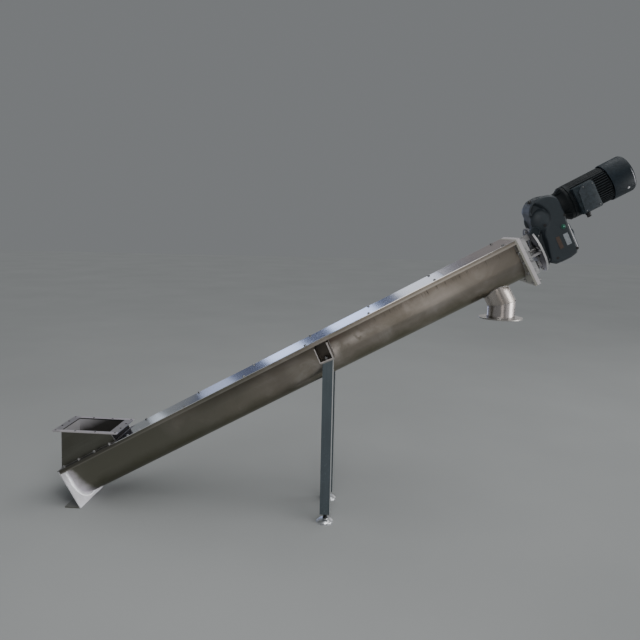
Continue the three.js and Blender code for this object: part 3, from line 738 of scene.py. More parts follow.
# The head's cover darker and browner, as painted shade
COVER_HEAD = cover_steel("cover_head", (0.37, 0.345, 0.34), (0.29, 0.265, 0.26), (0.52, 0.50, 0.50), 0.13)
HOPPER = sheet_steel("hopper", (0.20, 0.197, 0.165), (0.155, 0.15, 0.125), (0.27, 0.265, 0.23), 0.36)
HOPPER_BASE = hopper_base_steel()
# The hopper's head wall, nearly black as painted shade
HOPPER_SHADED = sheet_steel(
    "hopper_head", (0.03, 0.027, 0.027), (0.02, 0.018, 0.018), (0.05, 0.045, 0.045), 0.5, 0.8)
# The hopper's tail wall, light as painted light
HOPPER_LIT = sheet_steel(
    "hopper_tail", (0.74, 0.72, 0.74), (0.6, 0.58, 0.59), (0.84, 0.83, 0.85), 0.5, 0.35)
HOPPER_FAR = hopper_inside()
HOPPER_FLANGE = flange_steel()
BRACKET = bracket_steel()
BRIGHT = bright_steel("polished_steel", (0.66, 0.65, 0.63), 0.16)
PIPE = bright_steel("polished_pipe", (0.60, 0.55, 0.53), 0.21)
# Darker than the lower pipe, as painted reflection
PIPE_UPPER = bright_steel("polished_elbow", (0.55, 0.50, 0.46), 0.23)
PIPE_FLANGE = bright_steel("satin_flange", (0.44, 0.43, 0.41), 0.38)
# Lighter than the polished steel, as painted light on the dome that reflects the dark floor
DOME = bright_steel("satin_dome", (0.80, 0.82, 0.84), 0.30)
LEG = leg_steel()
CAST = cast_metal("cast_grey", (0.66, 0.655, 0.66))
# Its faces along the trough in painted shade, lighter low down as painted light
CAST_RING = cast_metal("cast_ring", (0.78, 0.775, 0.78), (0.14, 0.14, 0.155))
PAINT = drive_paint("drive_dark_grey", (0.042, 0.053, 0.062), 0.48)
PAINT_MOTOR = drive_paint("drive_motor_grey", (0.013, 0.016, 0.018), 0.55, 0.2)
PAINT_BOX = drive_paint("drive_box_grey", (0.019, 0.028, 0.034), 0.46, 0.25)
PAINT_COWL = drive_paint("drive_cowl_grey", (0.018, 0.027, 0.035), 0.48, 0.16, True)
WELD = weld_metal("weld_dull", (0.36, 0.35, 0.34), 1.0)
# Near white as a painted highlight: the gearbox's joint strip
WELD_HIGHLIGHT = weld_metal("weld_painted_highlight", (0.95, 0.94, 0.97), 0.45)
# Near white as a painted highlight: the tail's bead and the cowl's screws
HIGHLIGHT_WHITE = weld_metal("fastener_painted_highlight", (0.95, 0.95, 0.97), 0.1)
ZINC = zinc("fastener", (0.5, 0.5, 0.5), 0.35)
DARK_BOLT = zinc("fastener_dark", (0.12, 0.12, 0.12), 0.45)
PLATE = blank_plate("blank_plate", (0.40, 0.43, 0.46), 0.3)
BROWN_PLATE = blank_plate("blank_plate_brown", (0.11, 0.08, 0.065), 0.5)
GREEN_PLUG = blank_plate("plug_green", (0.02, 0.13, 0.085), 0.0)
MINT = blank_plate("plug_mint", (0.18, 0.62, 0.45), 0.0)
BLACK = blank_plate("black_rubber", (0.012, 0.012, 0.012), 0.0)

# The material and the rounding of each CAD node that no piece replaces
NODE_FINISH = {
    "trough": (TROUGH_SHEET, 0.0), "tail_end_plate": (END_PLATE, 0.8), "tail_foot_plate": (FOOT_PLATE, 0.8),
    "tail_bearing": (CAST, 1.2), "cover_lower": (COVER, 1.3), "cover_upper": (COVER_HEAD, 1.3),
    "head_trough_flange": (HEAD_FLANGE, 0.8), "head_end_plate": (HEAD_PLATE, 1.0),
    "hopper_base_plate": (HOPPER_BASE, 0.5), "hopper_near_wall": (HOPPER, 0.6),
    "hopper_far_wall": (HOPPER_FAR, 0.6), "hopper_tail_wall": (HOPPER_LIT, 0.6),
    "hopper_head_wall": (HOPPER_SHADED, 0.6), "hopper_top_flange": (HOPPER_FLANGE, 0.5),
    "screw_tube": (SHEET, 0.0), "screw_flight": (SHEET, 0.0), "tail_stub_shaft": (BRIGHT, 1.0),
    "drive_shaft": (BRIGHT, 0.0), "spout_upper_pipe": (PIPE_UPPER, 0.0), "spout_lower_pipe": (PIPE, 0.0),
    "spout_flange": (PIPE_FLANGE, 0.6), "lantern_base_plate": (CAST, 2.0), "lantern_ring": (CAST_RING, 1.2),
    "gearbox_flange": (PAINT_MOTOR, 1.5), "gearbox_cover": (PAINT, 1.5), "cable_gland": (BLACK, 0.8),
}
for place in ("far", "top", "near", "bottom"):
    NODE_FINISH[f"lantern_rib_{place}"] = (CAST, 1.5)
for side in ("near", "far"):
    NODE_FINISH[f"{side}_bracket"] = (BRACKET, 0.8)
    NODE_FINISH[f"{side}_leg_top_plate"] = (SHEET, 0.6)
    NODE_FINISH[f"{side}_leg"] = (LEG, 6.0)


def finish_nodes():
    """Every CAD node gets its material, small rounded edges and smooth shading."""
    for name, node in nodes.items():
        material, bevel = NODE_FINISH.get(name, (PAINT, 0.0))
        node.data.materials.clear()
        node.data.materials.append(material)
        finished(node, bevel)


# Camera, as fitted to the photograph's edges
CAMERA_AT = Vector((1.719134, -3.224599, 1.708372))
CAMERA_YAW = math.radians(-4.349)
CAMERA_DOWN = math.radians(9.279)
CAMERA_ROLL = math.radians(-1.127)
CAMERA_LENS = 31.594


def make_camera():
    data = bpy.data.cameras.new("camera")
    data.lens = CAMERA_LENS
    data.sensor_width = 36
    data.clip_start = 0.05
    data.clip_end = 200
    camera = added("camera", data)
    bpy.context.scene.camera = camera
    right = Vector((math.cos(CAMERA_YAW), -math.sin(CAMERA_YAW), 0))
    level = Vector((math.sin(CAMERA_YAW), math.cos(CAMERA_YAW), 0))
    ahead = math.cos(CAMERA_DOWN) * level - math.sin(CAMERA_DOWN) * Vector(UP)
    down = ahead.cross(right)
    c, s = math.cos(CAMERA_ROLL), math.sin(CAMERA_ROLL)
    turn = Matrix((c * right + s * down, s * right - c * down, -ahead)).transposed().to_4x4()
    camera.matrix_world = Matrix.Translation(CAMERA_AT) @ turn


# Studio, in metres. Windows seen in the covers: x from, x to, glow, blueness
WINDOWS = (
    (-2.25, -1.6, 0.65, 0.35), (-0.93, -0.27, 1.7, 0.4), (0.25, 1.05, 1.8, 0.4), (1.45, 2.2, 0.95, 0.05),
)
WHITE = (1, 1, 1)


def lamp(name, kind, power, direction):
    """A light that shines in a direction."""
    data = bpy.data.lights.new(name, kind)
    data.energy = power
    light = added(name, data)
    light.rotation_euler = Vector(direction).to_track_quat("-Z", "Y").to_euler()
    return light


def area_light(name, at, target, size, power, color=WHITE):
    """A soft light that shows in reflections, but not in the picture itself."""
    light = lamp(name, "AREA", power, Vector(target) - Vector(at))
    light.data.shape = "RECTANGLE"
    light.data.size, light.data.size_y = size
    light.data.color = color
    light.location = at
    light.visible_camera = False
    return light


def card(name, at, target, size, glow, color=WHITE):
    """A large dim panel that only reflections show, given by how bright it looks."""
    area_light(name, at, target, size, glow * math.pi * size[0] * size[1], color).visible_diffuse = False


def flat(name, corners, material):
    """A flat face of the studio, between four corners."""
    mesh = bpy.data.meshes.new(name)
    mesh.from_pydata(corners, [], [(0, 1, 2, 3)])
    mesh.materials.append(material)
    obj = added(name, mesh)
    return obj


def backdrop(name, x0, x1, glow):
    """A dim wall behind the machine that only reflections show; it hides the world behind it."""
    y, z0, z1 = 7.3, -0.1, 4.6
    f = Finish(name, 0.0, (0.0, 0.0, 0.0), 1.0)
    f.set("Specular IOR Level", 0.0)
    f.set("Emission Color", (*glow, 1))
    f.set("Emission Strength", 1.0)
    wall = flat(name, [(x0, y, z0), (x1, y, z0), (x1, y, z1), (x0, y, z1)], f.material)
    wall.visible_camera = False
    wall.visible_diffuse = False
    wall.visible_shadow = False


def make_world():
    world = bpy.data.worlds.new("studio")
    world.use_nodes = True
    background = world.node_tree.nodes["Background"]
    background.inputs["Color"].default_value = (0.93, 0.97, 1.0, 1)
    background.inputs["Strength"].default_value = 0.20
    bpy.context.scene.world = world


def make_lights():
    """A soft ceiling, lights on the machine, and one that falls on the tail end plate only."""
    lamp("ceiling", "SUN", 1.15, (-0.35, 0.25, -1)).data.angle = math.radians(40)
    area_light("key", (3.5, 1.5, 6.0), (1.4, 0, 0.6), (3.0, 3.0), 55)
    area_light("side", (8.0, 0.0, 2.0), (2.6, 0, 1.5), (7.0, 3.5), 95)
    area_light("hopper_light", (1.6, -2.2, 2.6), (0.08, 0, 0.44), (0.8, 0.8), 20)
    tail = area_light("tail_light", (2.6, -0.9, 0.8), (0.07, -0.06, 0.1), (0.6, 0.6), 50)
    lit = bpy.data.collections.new("lit_by_tail_light")
    for name in ("tail_end_plate", "tail_bead", "tail_fillet"):
        lit.objects.link(bpy.data.objects[name])
    tail.light_linking.receiver_collection = lit


def make_reflections():
    """A dark blue wall with windows behind the machine, as the covers show it, and cards round it."""
    backdrop("wall", -6.0, 2.5, (0.105, 0.118, 0.175))
    backdrop("wall_right", 2.5, 6.0, (0.32, 0.30, 0.30))
    for k, (x0, x1, glow, blue) in enumerate(WINDOWS):
        x = (x0 + x1) / 2
        color = (1 - blue, 1 - 0.75 * blue, 1.0)
        card(f"window_{k}", (x, 7.0, 2.0), (x, 0, 2.0), (x1 - x0, 4.0), glow, color)
    card("shine", (-1.33, 3.5, 0.3), (-1.33, 0, 0.3), (0.18, 1.3), 0.6, (0.8, 0.88, 1.0))
    card("back_left", (-5.5, 7.0, 3.2), (0, 0, 1), (4.0, 3.0), 0.5)
    card("back_right", (5.0, 6.5, 1.8), (0.2, 0, 0.3), (3.0, 3.0), 1.1)
    card("far_right", (6.8, -4.6, 1.8), (2.5, 0, 1.3), (3.0, 3.5), 0.45)
    card("pipe_light", (7.5, -0.9, 1.4), (2.5, 0, 1.3), (2.4, 3.0), 4.8)
    card("front_right", (2.6, -8.0, 1.3), (2.0, 0, 1.2), (2.6, 2.6), 1.0, (1.0, 0.94, 0.88))


def make_floor():
    half = 30
    f = Finish("floor_grey", 0.0, (0.35, 0.36, 0.36), 1.0)
    f.set("Specular IOR Level", 0.0)
    f.tint(f.spread(f.noise(0.6, 3.0)), (0.375, 0.385, 0.385))
    flat("floor", [(-half, -half, 0), (half, -half, 0), (half, half, 0), (-half, half, 0)], f.done())


# Fasteners and welds of the trough, hopper and head
def fasteners(name, places, axis, size, proud=0, material=ZINC):
    """Hexagon bolts as one piece, or nuts on studs that stand proud; places are (point, turn) pairs."""
    bm = bmesh.new()
    for at, turn in places:
        if proud:
            nut_on_stud(bm, at, axis, size, proud, turn)
        else:
            hex_bolt(bm, at, axis, size, turn)
    piece(name, bm, material)


def along_edges(stations, h, turn):
    """Points along both edges of the trough; each pair of bolts is turned a little more."""
    return [((s, y, h), k * turn) for k, s in enumerate(stations) for y in (-EDGE_BOLT_Y, EDGE_BOLT_Y)]


def ring_of_four(x, radius, start=0.0):
    """Four points round the screw's axis, each with its own angle."""
    return [((x, radius * math.cos(a), AXIS_H + radius * math.sin(a)), a) for a in circle(4, start)]


def cover_fasteners():
    """Bolts along both edges of the covers, with their nuts under the trough's flange."""
    stations = [COVER_BOLT_START + k * COVER_BOLT_PITCH for k in range(COVER_BOLTS)]
    under = span("trough")[1].z - SHEET_THICK
    fasteners("cover_bolts", along_edges(stations, span("cover_lower")[1].z, 0.7), UP, 8)
    fasteners("cover_nuts", along_edges(stations, under, 0.4), DOWN, 8, 5)


def hopper_fasteners():
    """Studs with nuts that hold the hopper's base plate."""
    places = along_edges(HOPPER_BOLT_S, span("hopper_base_plate")[1].z, 0.5)
    fasteners("hopper_base_nuts", places, UP, 10, 4)


def head_fasteners():
    """Bolts and nuts round the head flange."""
    spots = [(y, HEAD_BOLT_LOW) for y in (-EDGE_BOLT_Y, 0, EDGE_BOLT_Y)]
    spots += [(y, h) for y in (-EDGE_BOLT_Y, EDGE_BOLT_Y) for h in HEAD_BOLT_H]
    face = span("head_trough_flange")[0].x
    back = span("head_end_plate")[1].x
    fasteners("head_flange_bolts", [((face, y, h), 0.3) for y, h in spots], BACK, 10)
    fasteners("head_flange_nuts", [((back, y, h), 0.2) for y, h in spots], ALONG, 10, 5)


def tail_bearing_bolts():
    """Four bolts on the bearing's flange."""
    places = ring_of_four(span("tail_bearing")[1].x - 12, 52, math.pi / 4)
    fasteners("tail_bearing_bolts", places, BACK, 8)


def lantern_fasteners():
    """Bolts of the lantern's base, of its ring and of the gearbox flange."""
    base_back = span("lantern_base_plate")[1].x
    base = [((base_back, y, AXIS_H + h), 0.4) for y in (-118, 118) for h in (-72, -48, 48, 72)]
    ring = ring_of_four(span("lantern_ring")[0].x, 112)
    flange = ring_of_four(span("gearbox_flange")[1].x, 101, math.pi / 4)
    fasteners("lantern_base_bolts", base, ALONG, 12, material=DARK_BOLT)
    fasteners("lantern_ring_bolts", ring, BACK, 10)
    fasteners("gearbox_flange_bolts", flange, ALONG, 10)


def welds(name, beads, place=TROUGH, material=WELD):
    """Weld beads as one piece, each given by its path and radius."""
    bm = bmesh.new()
    for path, radius in beads:
        bead(bm, path, radius)
    piece(name, bm, material, place)


def u_path(s, radius, top):
    """The trough's U outline at a station, from the near top down and up to the far top."""
    round_part = [(s, y, h) for y, h in arc((0, AXIS_H), radius, 180, 360, 40)]
    return [(s, -radius, top)] + round_part + [(s, radius, top)]


# The fillet's profile: distance from the tail, and from the screw's axis
TAIL_FILLET = [(6.2, 128), (7.5, 125), (8.5, 122), (10, 119), (13, 116), (18, 113.6), (18, 112), (6.2, 112)]


def round_the_trough(bm, profile, top):
    """A closed profile of (distance along, radius) points, carried round the trough's U."""
    paths = [[bm.verts.new(p) for p in u_path(s, r, top)] for s, r in profile]
    stations = list(zip(*paths))
    for lower, upper in zip(stations, stations[1:]):
        skin(bm, lower, upper)
    bm.faces.new(stations[0])
    bm.faces.new(stations[-1][::-1])


def trough_welds():
    """The ground fillet and bead at the tail end plate, and the bead at the head flange."""
    head_face = span("head_trough_flange")[0].x
    top = span("trough")[1].z - 4
    fillet = bmesh.new()
    round_the_trough(fillet, TAIL_FILLET, top)
    piece("tail_fillet", fillet, END_PLATE)
    welds("tail_bead", [(u_path(7.5, 126, top), 3.6)], material=HIGHLIGHT_WHITE)
    welds("head_flange_weld", [(u_path(head_face - 1, TROUGH_R + 1, top), 2.4)])


def foot_weld():
    """Bead between the foot plate and the end plate."""
    high = span("tail_foot_plate", LEVEL)[1]
    x = high.x - high.z * math.tan(SLOPE) - 2
    half = high.y - 4
    welds("foot_plate_weld", [([(x, -half, high.z + 0.5), (x, half, high.z + 0.5)], 3.0)], LEVEL)


def hopper_welds():
    """Beads at the hopper's corners, under its flange and round its foot."""
    wall = span("hopper_near_wall", LEVEL)[0].y
    directions = ((-1, 0, -3), (1, 0, -0.2), (-1, 0, 3), (1, 0, 3))
    tail_foot, head_foot, tail_top, head_top = [corner("hopper_near_wall", d, LEVEL) for d in directions]

    def loop(tail, head, rise):
        near = [(tail.x - 1, wall - 1, tail.z + rise), (head.x + 1, wall - 1, head.z + rise)]
        far = [(x, 1 - wall, z) for x, _, z in near[::-1]]
        return near + far + near[:1]

    beads = []
    for y in (wall, -wall):
        for foot, top in ((tail_foot, tail_top), (head_foot, head_top)):
            beads.append(([(foot.x, y, foot.z), (top.x, y, top.z - 1)], 2.0))
    beads += [(loop(tail_top, head_top, -1), 2.0), (loop(tail_foot, head_foot, 1), 2.2)]
    welds("hopper_welds", beads, LEVEL)


def spout_welds():
    """Beads where the spout leaves the trough, at its mitre and at its flange."""
    low, high = span("spout_upper_pipe")
    middle = (low.x + high.x) / 2
    radius = (high.y - low.y) / 2
    mitre = (corner("spout_lower_pipe", (-0.25, 0, 1)).z + corner("spout_upper_pipe", (0.2, 0, -1)).z) / 2
    saddle = []
    seam = []
    for c, s in arc((0, 0), 1, 0, 360, 96):
        y = (radius + 0.5) * s
        saddle.append((middle + (radius + 1) * c, y, AXIS_H - math.sqrt((TROUGH_R + 1.5) ** 2 - y * y)))
        seam.append((middle + radius * c, radius * s, mitre - math.tan(SLOPE / 2) * radius * c))
    welds("spout_welds", [(saddle, 3.0), (seam, 1.6)])
    flange_low, flange_high = span("spout_flange", LEVEL)
    centre = ((flange_low.x + flange_high.x) / 2, 0)
    ring = [(x, y, flange_high.z + 0.5) for x, y in arc(centre, radius + 0.5, 0, 360, 96)]
    welds("spout_flange_weld", [(ring, 2.0)], LEVEL)


# Legs. Profiles are (height, radius) points
FOOT_PROFILE = [
    (0, 0), (0, 48), (0, 50), (4, 50), (6, 49.2), (7, 46.5), (9, 45.8), (12, 43), (15, 38.5), (18, 32.5),
    (20.5, 26.5), (22, 23), (23, 19.5), (25, 18.5), (25, 0),
]
FOOT_NUT = [(48, 0), (48, 15.5), (50, 17.3), (56, 17.3), (57.8, 15.5), (57.8, 0)]
FOOT_COLLAR = [(25.2, 0), (25.2, 14), (30, 13), (32, 0)]
FOOT_THREAD_R = 11
FOOT_THREAD_PITCH = 2.0


def levelling_foot(side):
    """A domed disc, and a threaded screw with its nut and collar."""
    low, high = span(f"{side}_foot_disc", LEVEL)
    stem_low, stem_high = span(f"{side}_foot_stem", LEVEL)
    at = ((low.x + high.x) / 2, (low.y + high.y) / 2, 0)
    dome = bmesh.new()
    turned(dome, FOOT_PROFILE, at, UP, 64)
    piece(f"{side}_foot_dome", dome, DOME, LEVEL, replaces=[f"{side}_foot_disc"])
    screw = bmesh.new()
    thread(screw, at, UP, stem_low.z, stem_high.z, FOOT_THREAD_R, FOOT_THREAD_PITCH)
    turned(screw, FOOT_NUT, at, UP, 6, 0.2)
    turned(screw, FOOT_COLLAR, at, UP, 24)
    piece(f"{side}_foot_screw", screw, DARK_BOLT, LEVEL, replaces=[f"{side}_foot_stem"])


def bracket_fittings(side, sign, bracket):
    """The bracket's bolt, its welds to the trough and the one along its top plate."""
    name = f"{side}_bracket"
    low, high = span(name, bracket)
    wall = sign * (TROUGH_R + 1.5)
    face = (low if sign < 0 else high).y - sign * 4
    tail_top = corner(name, (-1, 0, 0.4), bracket).z
    bolt = bmesh.new()
    nut_on_stud(bolt, (40, sign * 147, 6), UP, 12, 5, 0.4)
    piece(f"{name}_nut", bolt, ZINC, bracket)
    welds(f"{name}_welds", [
        ([(-1, wall, tail_top - 3), (-1, wall, 1)], 2.4),
        ([(high.x + 1, wall, high.z - 3), (high.x + 1, wall, 1)], 2.6),
        ([(6, face, -6.8), (high.x - 6, face, -6.8)], 1.2),
    ], bracket)


def legs():
    """Levelling feet, and the brackets' bolts and welds, on both sides."""
    at = corner("near_bracket", (-1, 0, -1.2), LEVEL)
    bracket = sloped(at.x, at.z, BRACKET_SLOPE)
    for side, sign in (("near", -1), ("far", 1)):
        levelling_foot(side)
        bracket_fittings(side, sign, bracket)


# Gearmotor
def grown(outline, by):
    """An outline moved outwards by a distance, corner by corner."""
    points = [Vector(p) for p in outline]
    after = points[1:] + points[:1]
    sign = 1 if sum(a.cross(b) for a, b in zip(points, after)) > 0 else -1
    moved = []
    for i, (here, following) in enumerate(zip(points, after)):
        a = (here - points[i - 1]).normalized()
        b = (following - here).normalized()
        outward = Vector((a.y + b.y, -a.x - b.x)).normalized() * sign
        moved.append(tuple(here + outward * by))
    return moved


def cast(bm, voxel, rounds):
    """Overlapping forms made one casting: a single skin, with its corners rounded by smoothing."""
    mesh = bpy.data.meshes.new("casting")
    bmesh.ops.recalc_face_normals(bm, faces=bm.faces)
    bm.to_mesh(mesh)
    obj = added("casting", mesh)
    remesh = obj.modifiers.new("skin", "REMESH")
    remesh.mode = "VOXEL"
    remesh.voxel_size = voxel
    smooth = obj.modifiers.new("smooth", "SMOOTH")
    smooth.factor = 0.5
    smooth.iterations = rounds
    bm.clear()
    bm.from_mesh(obj.evaluated_get(bpy.context.evaluated_depsgraph_get()).to_mesh())
    bpy.data.objects.remove(obj)
    bpy.data.meshes.remove(mesh)


# Outlines of the housing, as distances along and square to the trough from its tail-side edge
GEAR_OUTLINE = [
    (0, 66), (8, 52), (28, 40), (107, 38), (148, 46), (158, 66), (163, 200), (167, 242), (170, 258),
    (170, 340), (164, 356), (150, 372), (132, 383), (112, 388), (56, 388), (32, 378), (8, 354), (6, 268),
    (0, 250),
]
GEAR_RAISED = [
    (6, 54), (28, 38), (67, 35), (107, 35), (144, 43), (154, 56), (156, 68), (161, 200), (166, 242),
    (169, 262), (169, 338), (165, 357), (152, 375), (135, 386), (115, 392), (92, 394), (62, 392), (50, 386),
    (66, 369), (83, 345), (91, 326), (96, 310), (94, 290), (86, 268), (70, 250), (50, 236), (34, 216),
    (28, 200), (26, 168), (14, 114), (6, 70),
]
GEAR_RIM = [
    (8, 330), (8, 354), (22, 374), (40, 388), (62, 397), (92, 397), (100, 391), (92, 385), (62, 385),
    (44, 380), (26, 366), (15, 351), (15, 330),
]
GEAR_STRIP = [(156, 66), (161, 66), (166, 200), (161, 200)]
GEAR_STRIP_HALF = 88
GEAR_SHOULDER = ((0, -5), (5, 0), (17, 5))      # depth behind the face, growth of the outline there
GEAR_SCREWS = ((3146, 254), (3135, 63), (3258, 255), (3246, 65))
PLUG = (3228, -GEAR_FACE, 203)


def gearbox():
    """Housing as one casting: core, raised faces with rounded shoulders, rim and round swellings."""
    start = span("gearbox_housing")[0].x
    bm = bmesh.new()

    def layer(outline, y0, y1):
        prism(bm, [(start + s, h) for s, h in outline], y0, y1)

    layer(GEAR_OUTLINE, -GEAR_CORE, GEAR_CORE)
    layer(GEAR_RIM, -GEAR_FACE + 5, GEAR_CORE)
    for side in (-1, 1):
        for depth, growth in GEAR_SHOULDER:
            y0, y1 = sorted((side * (GEAR_FACE - depth), side * 40))
            layer(grown(GEAR_RAISED, growth), y0, y1)
        swelling = Matrix.Translation((start + 57, side * 60, 279)) @ Matrix.Diagonal((62, 34, 66, 1))
        bmesh.ops.create_uvsphere(bm, u_segments=32, v_segments=16, radius=1, matrix=swelling)
    cast(bm, 2.6, 12)
    piece("gearbox_casting", bm, PAINT, replaces=["gearbox_housing"])


def fitting(name, profile, at, axis, sides, material):
    """One turned form as a piece."""
    bm = bmesh.new()
    turned(bm, profile, at, axis, sides)
    piece(name, bm, material)


def bare_plate(name, s0, s1, h0, h1, material):
    """A small plate without lettering on the gearbox's near face, with its four rivets."""
    lean = 2
    inset = 3
    bm = bmesh.new()
    prism(bm, [(s0, h0), (s1, h0), (s1 + lean, h1), (s0 + lean, h1)], -GEAR_FACE - 1.2, -GEAR_FACE + 1)
    for shift, h in ((0, h0 + inset), (lean, h1 - inset)):
        for s in (s0 + shift + inset, s1 + shift - inset):
            turned(bm, [(-1, 0), (-1, 1.6), (1.8, 1.4), (2.2, 0)], (s, -GEAR_FACE, h), NEAR, 10)
    piece(name, bm, material)


def gearbox_fittings():
    """Case screws, oil plug, blank plates, joint strip, end caps and breather."""
    low, high = span("gearbox_housing")
    screws = bmesh.new()
    for s, h in GEAR_SCREWS:
        for side in (-1, 1):
            outward = (0, side, 0)
            turned(screws, [(-1, 0), (-1, 7.5), (0.4, 7.5), (0.4, 0)], (s, side * GEAR_FACE, h), outward, 24)
            socket_screw(screws, (s, side * (GEAR_FACE - 3.5), h), outward, 5)
    piece("gearbox_screws", screws, BLACK)

    fitting("gearbox_oil_plug", [(-1, 0), (-1, 13), (2, 13), (3, 11.5), (3, 8), (6, 7.5), (7.5, 5.5), (8, 0)],
            PLUG, NEAR, 32, GREEN_PLUG)
    fitting("gearbox_plug_centre", [(7, 0), (7, 4), (8.6, 3.4), (8.8, 0)], PLUG, NEAR, 20, MINT)
    bare_plate("gearbox_blank_plate", 3206, 3232, 102, 166, PLATE)
    bare_plate("gearbox_brown_plate", 3165, 3186, 100, 168, BROWN_PLATE)

    strip = bmesh.new()
    prism(strip, [(low.x + s, h) for s, h in GEAR_STRIP], -GEAR_STRIP_HALF, GEAR_STRIP_HALF)
    piece("gearbox_joint_strip", strip, WELD_HIGHLIGHT, bevel=0.5)

    fitting("gearbox_end_cap", [(-6, 0), (-6, 30), (10, 29), (15, 25), (17, 18), (17, 0)],
            (span("gearbox_cover")[1].x - 4, -30, 145), ALONG, 40, PAINT)
    fitting("gearbox_side_cap", [(0, 0), (0, 26), (26, 26), (29, 24), (30, 21), (28, 19), (28, 0)],
            (low.x - 4, -58, 245), NEAR, 40, PAINT_BOX)
    fitting("gearbox_breather", [(-4, 0), (-4, 9), (2, 9), (2, 12), (9, 12), (11, 9), (11, 0)],
            (low.x + 44, -40, high.z - 4), (-0.2, 0, 1), 6, DARK_BOLT)


def along_slope(bm, outline, s0, s1):
    """An outline in Y and Z, extruded along the trough from s0 to s1."""
    extruded(bm, [(s0, y, z) for y, z in outline], [(s1, y, z) for y, z in outline])


def on_motor(bm, profile, s, sides):
    """A turned form on the motor's axis, its profile measured from a station."""
    turned(bm, profile, (s, 0, MOTOR_H), ALONG, sides)


def motor_turn(s, angle):
    """Turns a form about the motor's axis at a station."""
    return Matrix.Translation((s, 0, MOTOR_H)) @ Matrix.Rotation(angle, 4, "X")


def motor_frame():
    """Motor frame with fins along it but for its smooth top, and a round shield at its gearbox end."""
    low, high = span("motor_body")
    radius = (high.z - low.z) / 2
    fins = 44
    smooth_top = math.radians(48)
    outline = []
    for middle in circle(fins):
        root = radius - (2 if abs(middle - math.pi / 2) < smooth_top else 9)
        tip = radius - 1
        foot_half, tip_half = 3.8 / root, 2.0 / radius
        for r, lean in ((root, -foot_half), (tip, -tip_half), (tip, tip_half), (root, foot_half)):
            outline.append((r * math.cos(middle + lean), MOTOR_H + r * math.sin(middle + lean)))
    bm = bmesh.new()
    along_slope(bm, outline, low.x + 22, high.x - 6)
    shield = [(0, 0), (0, radius - 5), (3, radius - 1), (22, radius - 1), (27, radius - 7), (27, 0)]
    on_motor(bm, shield, low.x, 64)
    on_motor(bm, [(-8, 0), (-8, radius - 8), (0, radius - 8), (0, 0)], high.x, 64)
    piece("motor_frame", bm, PAINT_MOTOR, replaces=["motor_body"])


def motor_adapter():
    """Smooth neck that widens to the motor's flange, with thin ribs in pairs."""
    low, high = span("motor_adapter")
    length = high.x - low.x
    neck, rim = 78, 94
    bm = bmesh.new()
    flare = [(0, 0), (0, neck - 1), (3, neck), (14, neck), (26, 82), (38, 90), (43, rim)]
    flare += [(length - 2, rim), (length, rim - 2), (length, 0)]
    on_motor(bm, flare, low.x, 64)
    for middle in circle(4, math.radians(-152)):
        turn = motor_turn(low.x, middle)
        for lean in (-1, 1):
            start = Vector((8, neck * math.sin(0.04 * lean), neck))
            end = Vector((44, rim * math.sin(0.17 * lean), rim - 2))
            sweep(bm, [turn @ start, turn @ end], 2.6, 6)
    piece("motor_adapter_flare", bm, PAINT_MOTOR, bevel=1.2, replaces=["motor_adapter"])


COWL_OPENING = 66
COWL_SHEET = 2.5
COWL_ROLL = ((15, 0), (12, 1.2), (8, 3.6), (4, 6.1), (1.5, 12.3), (0, 16))  # back from the end, below the rim


def cowl_shell(low, high, radius):
    """Sheet cowl with a rolled end round its opening."""
    length = high.x - low.x
    outer = [(0, radius - 1), (2, radius)]
    outer += [(length - back, radius - drop) for back, drop in COWL_ROLL] + [(length, COWL_OPENING)]
    inner = [(along - COWL_SHEET if along > 20 else along, r - (COWL_SHEET if r > COWL_OPENING else 0))
             for along, r in outer[::-1]]
    bm = bmesh.new()
    on_motor(bm, outer + inner + outer[:1], low.x, 72)
    piece("fan_cowl_shell", bm, PAINT_COWL, replaces=["motor_fan_cowl"])


def cowl_screws(low, radius):
    """Two of the round heads that hold the cowl."""
    bm = bmesh.new()
    for a in (-43, 223):
        outward = Vector((0, math.cos(math.radians(a)), math.sin(math.radians(a))))
        seat = Vector((low.x + 72, 0, MOTOR_H)) + radius * outward
        turned(bm, [(-2, 0), (-2, 7), (1.2, 6.6), (2.6, 4.4), (3, 0)], seat, outward, 16)
    piece("fan_cowl_screws", bm, HIGHLIGHT_WHITE)


def fan_grille(high):
    """Wire rings and spokes over the cowl's opening, with a boss in the middle."""
    bm = bmesh.new()
    for r in range(14, COWL_OPENING + 1, 8):
        ring = [(high.x - 2.2, y, h) for y, h in arc((0, MOTOR_H), r, 0, 360, 48)]
        sweep(bm, ring[:-1], 1.3, 6, True)
    for a in circle(8):
        spoke = [(high.x - 3, r * math.cos(a), MOTOR_H + r * math.sin(a)) for r in (12, COWL_OPENING + 3)]
        sweep(bm, spoke, 1.8, 6)
    on_motor(bm, [(-4, 0), (-4, 13), (-1, 13), (0, 11), (0, 0)], high.x, 24)
    piece("fan_grille", bm, PAINT_COWL)


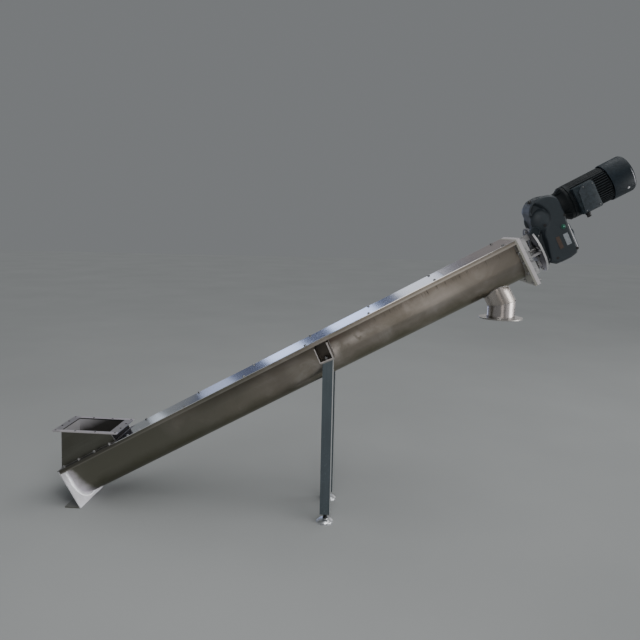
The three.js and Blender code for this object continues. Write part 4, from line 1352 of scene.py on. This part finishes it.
def fan_wheel(low):
    """Hub with nine straight blades."""
    blade = ((22, 20), (64, 20), (64, 86), (22, 86))
    bm = bmesh.new()
    on_motor(bm, [(20, 0), (20, 88), (24, 88), (30, 40), (72, 26), (76, 22), (76, 0)], low.x, 32)
    for a in circle(9):
        turn = motor_turn(low.x, a)
        extruded(bm, *[[turn @ Vector((x, y, z)) for x, z in blade] for y in (-1.5, 1.5)])
    piece("fan_wheel", bm, BLACK)


def fan_cowl():
    """Sheet cowl with its screws, and the fan behind the grille at its open end."""
    low, high = span("motor_fan_cowl")
    radius = (high.z - low.z) / 2
    cowl_shell(low, high, radius)
    cowl_screws(low, radius)
    fan_grille(high)
    fan_wheel(low)


# Outline of the terminal box's lid and places of its screws, from the box's lowest corner
LID_OUTLINE = ((8, 4), (94, 4), (103, 14), (106, 134), (96, 145), (44, 145), (20, 122))
LID_SCREWS = ((18, 14), (92, 14), (96, 130), (48, 135))
SADDLE_R = 96.3


def terminal_box():
    """Box with rounded corners on a saddle, and its lid with four screws."""
    low, high = span("terminal_box")
    rise = math.degrees(math.asin((high.z - MOTOR_H) / SADDLE_R))
    drop = math.degrees(math.acos(-high.y / SADDLE_R))
    outline = [(low.y, low.z), (high.y, low.z)] + arc((0, MOTOR_H), SADDLE_R, 180 + drop, 180 - rise, 12)
    box = bmesh.new()
    along_slope(box, outline + [(low.y, high.z)], low.x, high.x)
    piece("terminal_box_shell", box, PAINT_BOX, bevel=7.0, replaces=["terminal_box"])

    lid_low, lid_high = span("terminal_box_lid")
    lid = bmesh.new()
    prism(lid, [(low.x + s, low.z + h) for s, h in LID_OUTLINE], lid_low.y, lid_high.y)
    piece("terminal_box_cover", lid, PAINT, bevel=3.0, replaces=["terminal_box_lid"])
    screws = bmesh.new()
    for s, h in LID_SCREWS:
        socket_screw(screws, (low.x + s, lid_low.y + 1, low.z + h), NEAR, 4)
    piece("terminal_box_screws", screws, ZINC)


finish_nodes()
make_camera()
cover_fasteners()
hopper_fasteners()
head_fasteners()
trough_welds()
foot_weld()
hopper_welds()
spout_welds()
legs()
tail_bearing_bolts()
lantern_fasteners()
gearbox()
gearbox_fittings()
motor_frame()
motor_adapter()
fan_cowl()
terminal_box()

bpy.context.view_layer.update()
make_world()
make_lights()
make_reflections()
make_floor()
